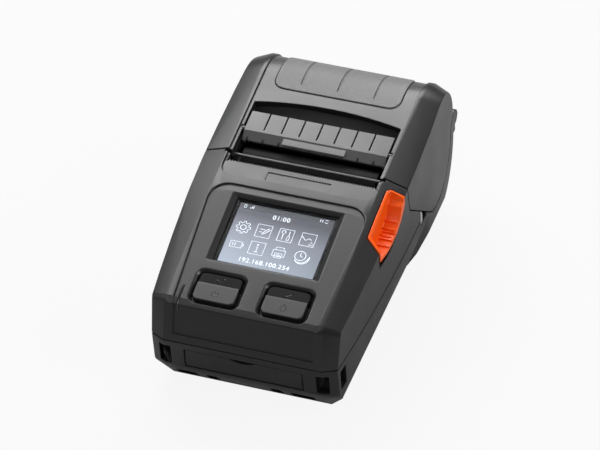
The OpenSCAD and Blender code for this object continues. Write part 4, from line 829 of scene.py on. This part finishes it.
GROOVES_FROM, GROOVE_STEP, GROOVE_CUTS, GROOVE_HALF, GROOVE_DEEP = 66, 1.7, 12, 18, 0.7
PACK_HALF, PACK_FRONT, PACK_BACK, PACK_FOOT, PACK_TOP = 27, 24, 90, 1.0, 18.3
battery_black = moulded("battery_black", (0.016, 0.016, 0.017), 0.48, depth=0.018, rubbed=0.4)
pack = bmesh.new()
block(pack, (-PACK_HALF, PACK_FRONT, PACK_FOOT), (PACK_HALF, PACK_BACK, PACK_TOP))
cuts = [((0, GROOVES_FROM + GROOVE_STEP * i, 0), (0, 1, 0)) for i in range(GROOVE_CUTS)]
cuts += [((-GROOVE_HALF, 0, 0), (1, 0, 0)), ((GROOVE_HALF, 0, 0), (1, 0, 0))]
for point, across in cuts:
    bmesh.ops.bisect_plane(pack, geom=pack.verts[:] + pack.edges[:] + pack.faces[:], dist=1e-4,
                           plane_co=point, plane_no=across)
grooves = []
for underside in [f for f in pack.faces if f.normal.z < -0.9]:
    middle = underside.calc_center_median()
    step = (middle.y - GROOVES_FROM) / GROOVE_STEP
    if abs(middle.x) < GROOVE_HALF and 0 < step < GROOVE_CUTS - 1 and int(step) % 2 == 0:
        grooves.append(underside)
bmesh.ops.inset_individual(pack, faces=grooves, thickness=0.2, depth=-GROOVE_DEEP)
keep(pack, "battery_case", "battery", battery_black, "battery_pack", bevel=0.3, slot=SLOTS["battery_pack"])
lands = bmesh.new()
for x in (-9, -3, 3, 9):
    block(lands, (x - 1.2, PACK_FRONT - 0.05, 7.5), (x + 1.2, PACK_FRONT + 0.1, 15.5), 0.03, 1)
keep(lands, "battery_lands", "battery", turned_brass, slot="brass")
fair("battery_contacts", turned_brass, bevel=0.05)
fair("battery_latch", catch_grey, bevel=0.25)
coil("battery_spring", spring_steel)
finger = bmesh.new()
for i in range(3):
    y = 92 + 1.3 * i
    block(finger, (-4, y, 0.85), (4, y + 0.6, 1.1), 0.08)
keep(finger, "catch_ridges", "battery_catch", catch_grey, slot="catch_grey")

# ---- Table, lamps and camera -----------------------------------------------------------------------------
# A white table, three soft boxes behind, strongest towards the left, weaker fills from the sides and
# the front, and a long lens at the photograph's angle.

AIM = Vector((-2.84, 78.9 - FRONT_TO_MIDDLE, 28.2)) * MM
TURN, LIFT, ROLL = math.radians(22.104), math.radians(42.253), math.radians(-4.0)
REACH, FOCAL_PX, FRAME_PX = 1.861, 4493.1, 600

eye = bpy.data.objects.new("view_camera", bpy.data.cameras.new("view_camera"))
bpy.context.scene.collection.objects.link(eye)
eye.data.sensor_width = 36
eye.data.sensor_fit = "HORIZONTAL"
eye.data.lens = FOCAL_PX * eye.data.sensor_width / FRAME_PX
eye.data.clip_start = 0.05
eye.data.clip_end = 20
back = Vector((math.sin(TURN) * math.cos(LIFT), -math.cos(TURN) * math.cos(LIFT), math.sin(LIFT)))
right = Vector((math.cos(TURN), math.sin(TURN), 0))
level = Matrix((right, back.cross(right), back)).transposed()
eye.matrix_world = Matrix.Translation(AIM + back * REACH) @ (level @ Matrix.Rotation(ROLL, 3, "Z")).to_4x4()
bpy.context.scene.camera = eye

LAMP_AWAY, LAMP_AIM = 0.8, Vector((0, 0, 0.03))


def lamp(name, bearing, height, size, power):
    """A square soft box facing the printer, at a bearing from straight behind towards the left."""
    made = bpy.data.objects.new(name, bpy.data.lights.new(name, "AREA"))
    made.data.size = size
    made.data.energy = power
    side, up = math.radians(bearing), math.radians(height)
    out_to = Vector((-math.sin(side) * math.cos(up), math.cos(side) * math.cos(up), math.sin(up)))
    made.location = out_to * LAMP_AWAY + LAMP_AIM
    made.rotation_euler = out_to.to_track_quat("Z", "Y").to_euler()
    bpy.context.scene.collection.objects.link(made)


lamp("box_behind", 22, 45, 0.4, 1.95)
lamp("box_behind_left", 45, 45, 0.4, 3.9)
lamp("box_behind_right", 0, 42, 0.35, 2.1)
lamp("fill_left", 130, 30, 0.45, 0.9)
lamp("fill_right", -90, 30, 0.4, 2.9)
lamp("fill_front", 165, 58, 0.35, 0.7)

table = bmesh.new()
bmesh.ops.create_grid(table, x_segments=1, y_segments=1, size=3)
table_top = bpy.data.meshes.new("table")
table.to_mesh(table_top)
table.free()
floor = bpy.data.objects.new("table", table_top)
bpy.context.scene.collection.objects.link(floor)
TABLE_GLOW, TABLE_IN_GLOSS = 0.9, 0.1
paper = bpy.data.materials.new("white_paper")
paper.use_nodes = True
tree = paper.node_tree
tree.nodes["Principled BSDF"].inputs["Base Color"].default_value = (0.45, 0.45, 0.45, 1)
tree.nodes["Principled BSDF"].inputs["Roughness"].default_value = 0.9
rays = put(tree, "ShaderNodeLightPath")
glow = put(tree, "ShaderNodeEmission", Strength=1.0)
blend = put(tree, "ShaderNodeMixShader")
seen = calc(tree, "MAXIMUM", rays.outputs["Is Camera Ray"], rays.outputs["Is Transmission Ray"])
seen = calc(tree, "MAXIMUM", calc(tree, "MULTIPLY", seen, TABLE_GLOW),
            calc(tree, "MULTIPLY", rays.outputs["Is Glossy Ray"], TABLE_IN_GLOSS))
tree.links.new(seen, blend.inputs[0])
tree.links.new(tree.nodes["Principled BSDF"].outputs[0], blend.inputs[1])
tree.links.new(glow.outputs[0], blend.inputs[2])
tree.links.new(blend.outputs[0], tree.nodes["Material Output"].inputs["Surface"])
table_top.materials.append(paper)

ROOM_IN_GLOSS, ROOM_LIGHT = 0.15, 0.08
room = bpy.data.worlds.new("room")
bpy.context.scene.world = room
room.use_nodes = True
tree = room.node_tree
rays = put(tree, "ShaderNodeLightPath")
backdrop = tree.nodes["Background"]
backdrop.inputs["Color"].default_value = (1, 1, 1, 1)
seen = calc(tree, "MAXIMUM", rays.outputs["Is Camera Ray"], rays.outputs["Is Transmission Ray"])
seen = calc(tree, "MAXIMUM", seen, calc(tree, "MULTIPLY", rays.outputs["Is Glossy Ray"], ROOM_IN_GLOSS))
tree.links.new(calc(tree, "MAXIMUM", seen, ROOM_LIGHT), backdrop.inputs["Strength"])
bpy.context.scene.view_settings.view_transform = "Standard"
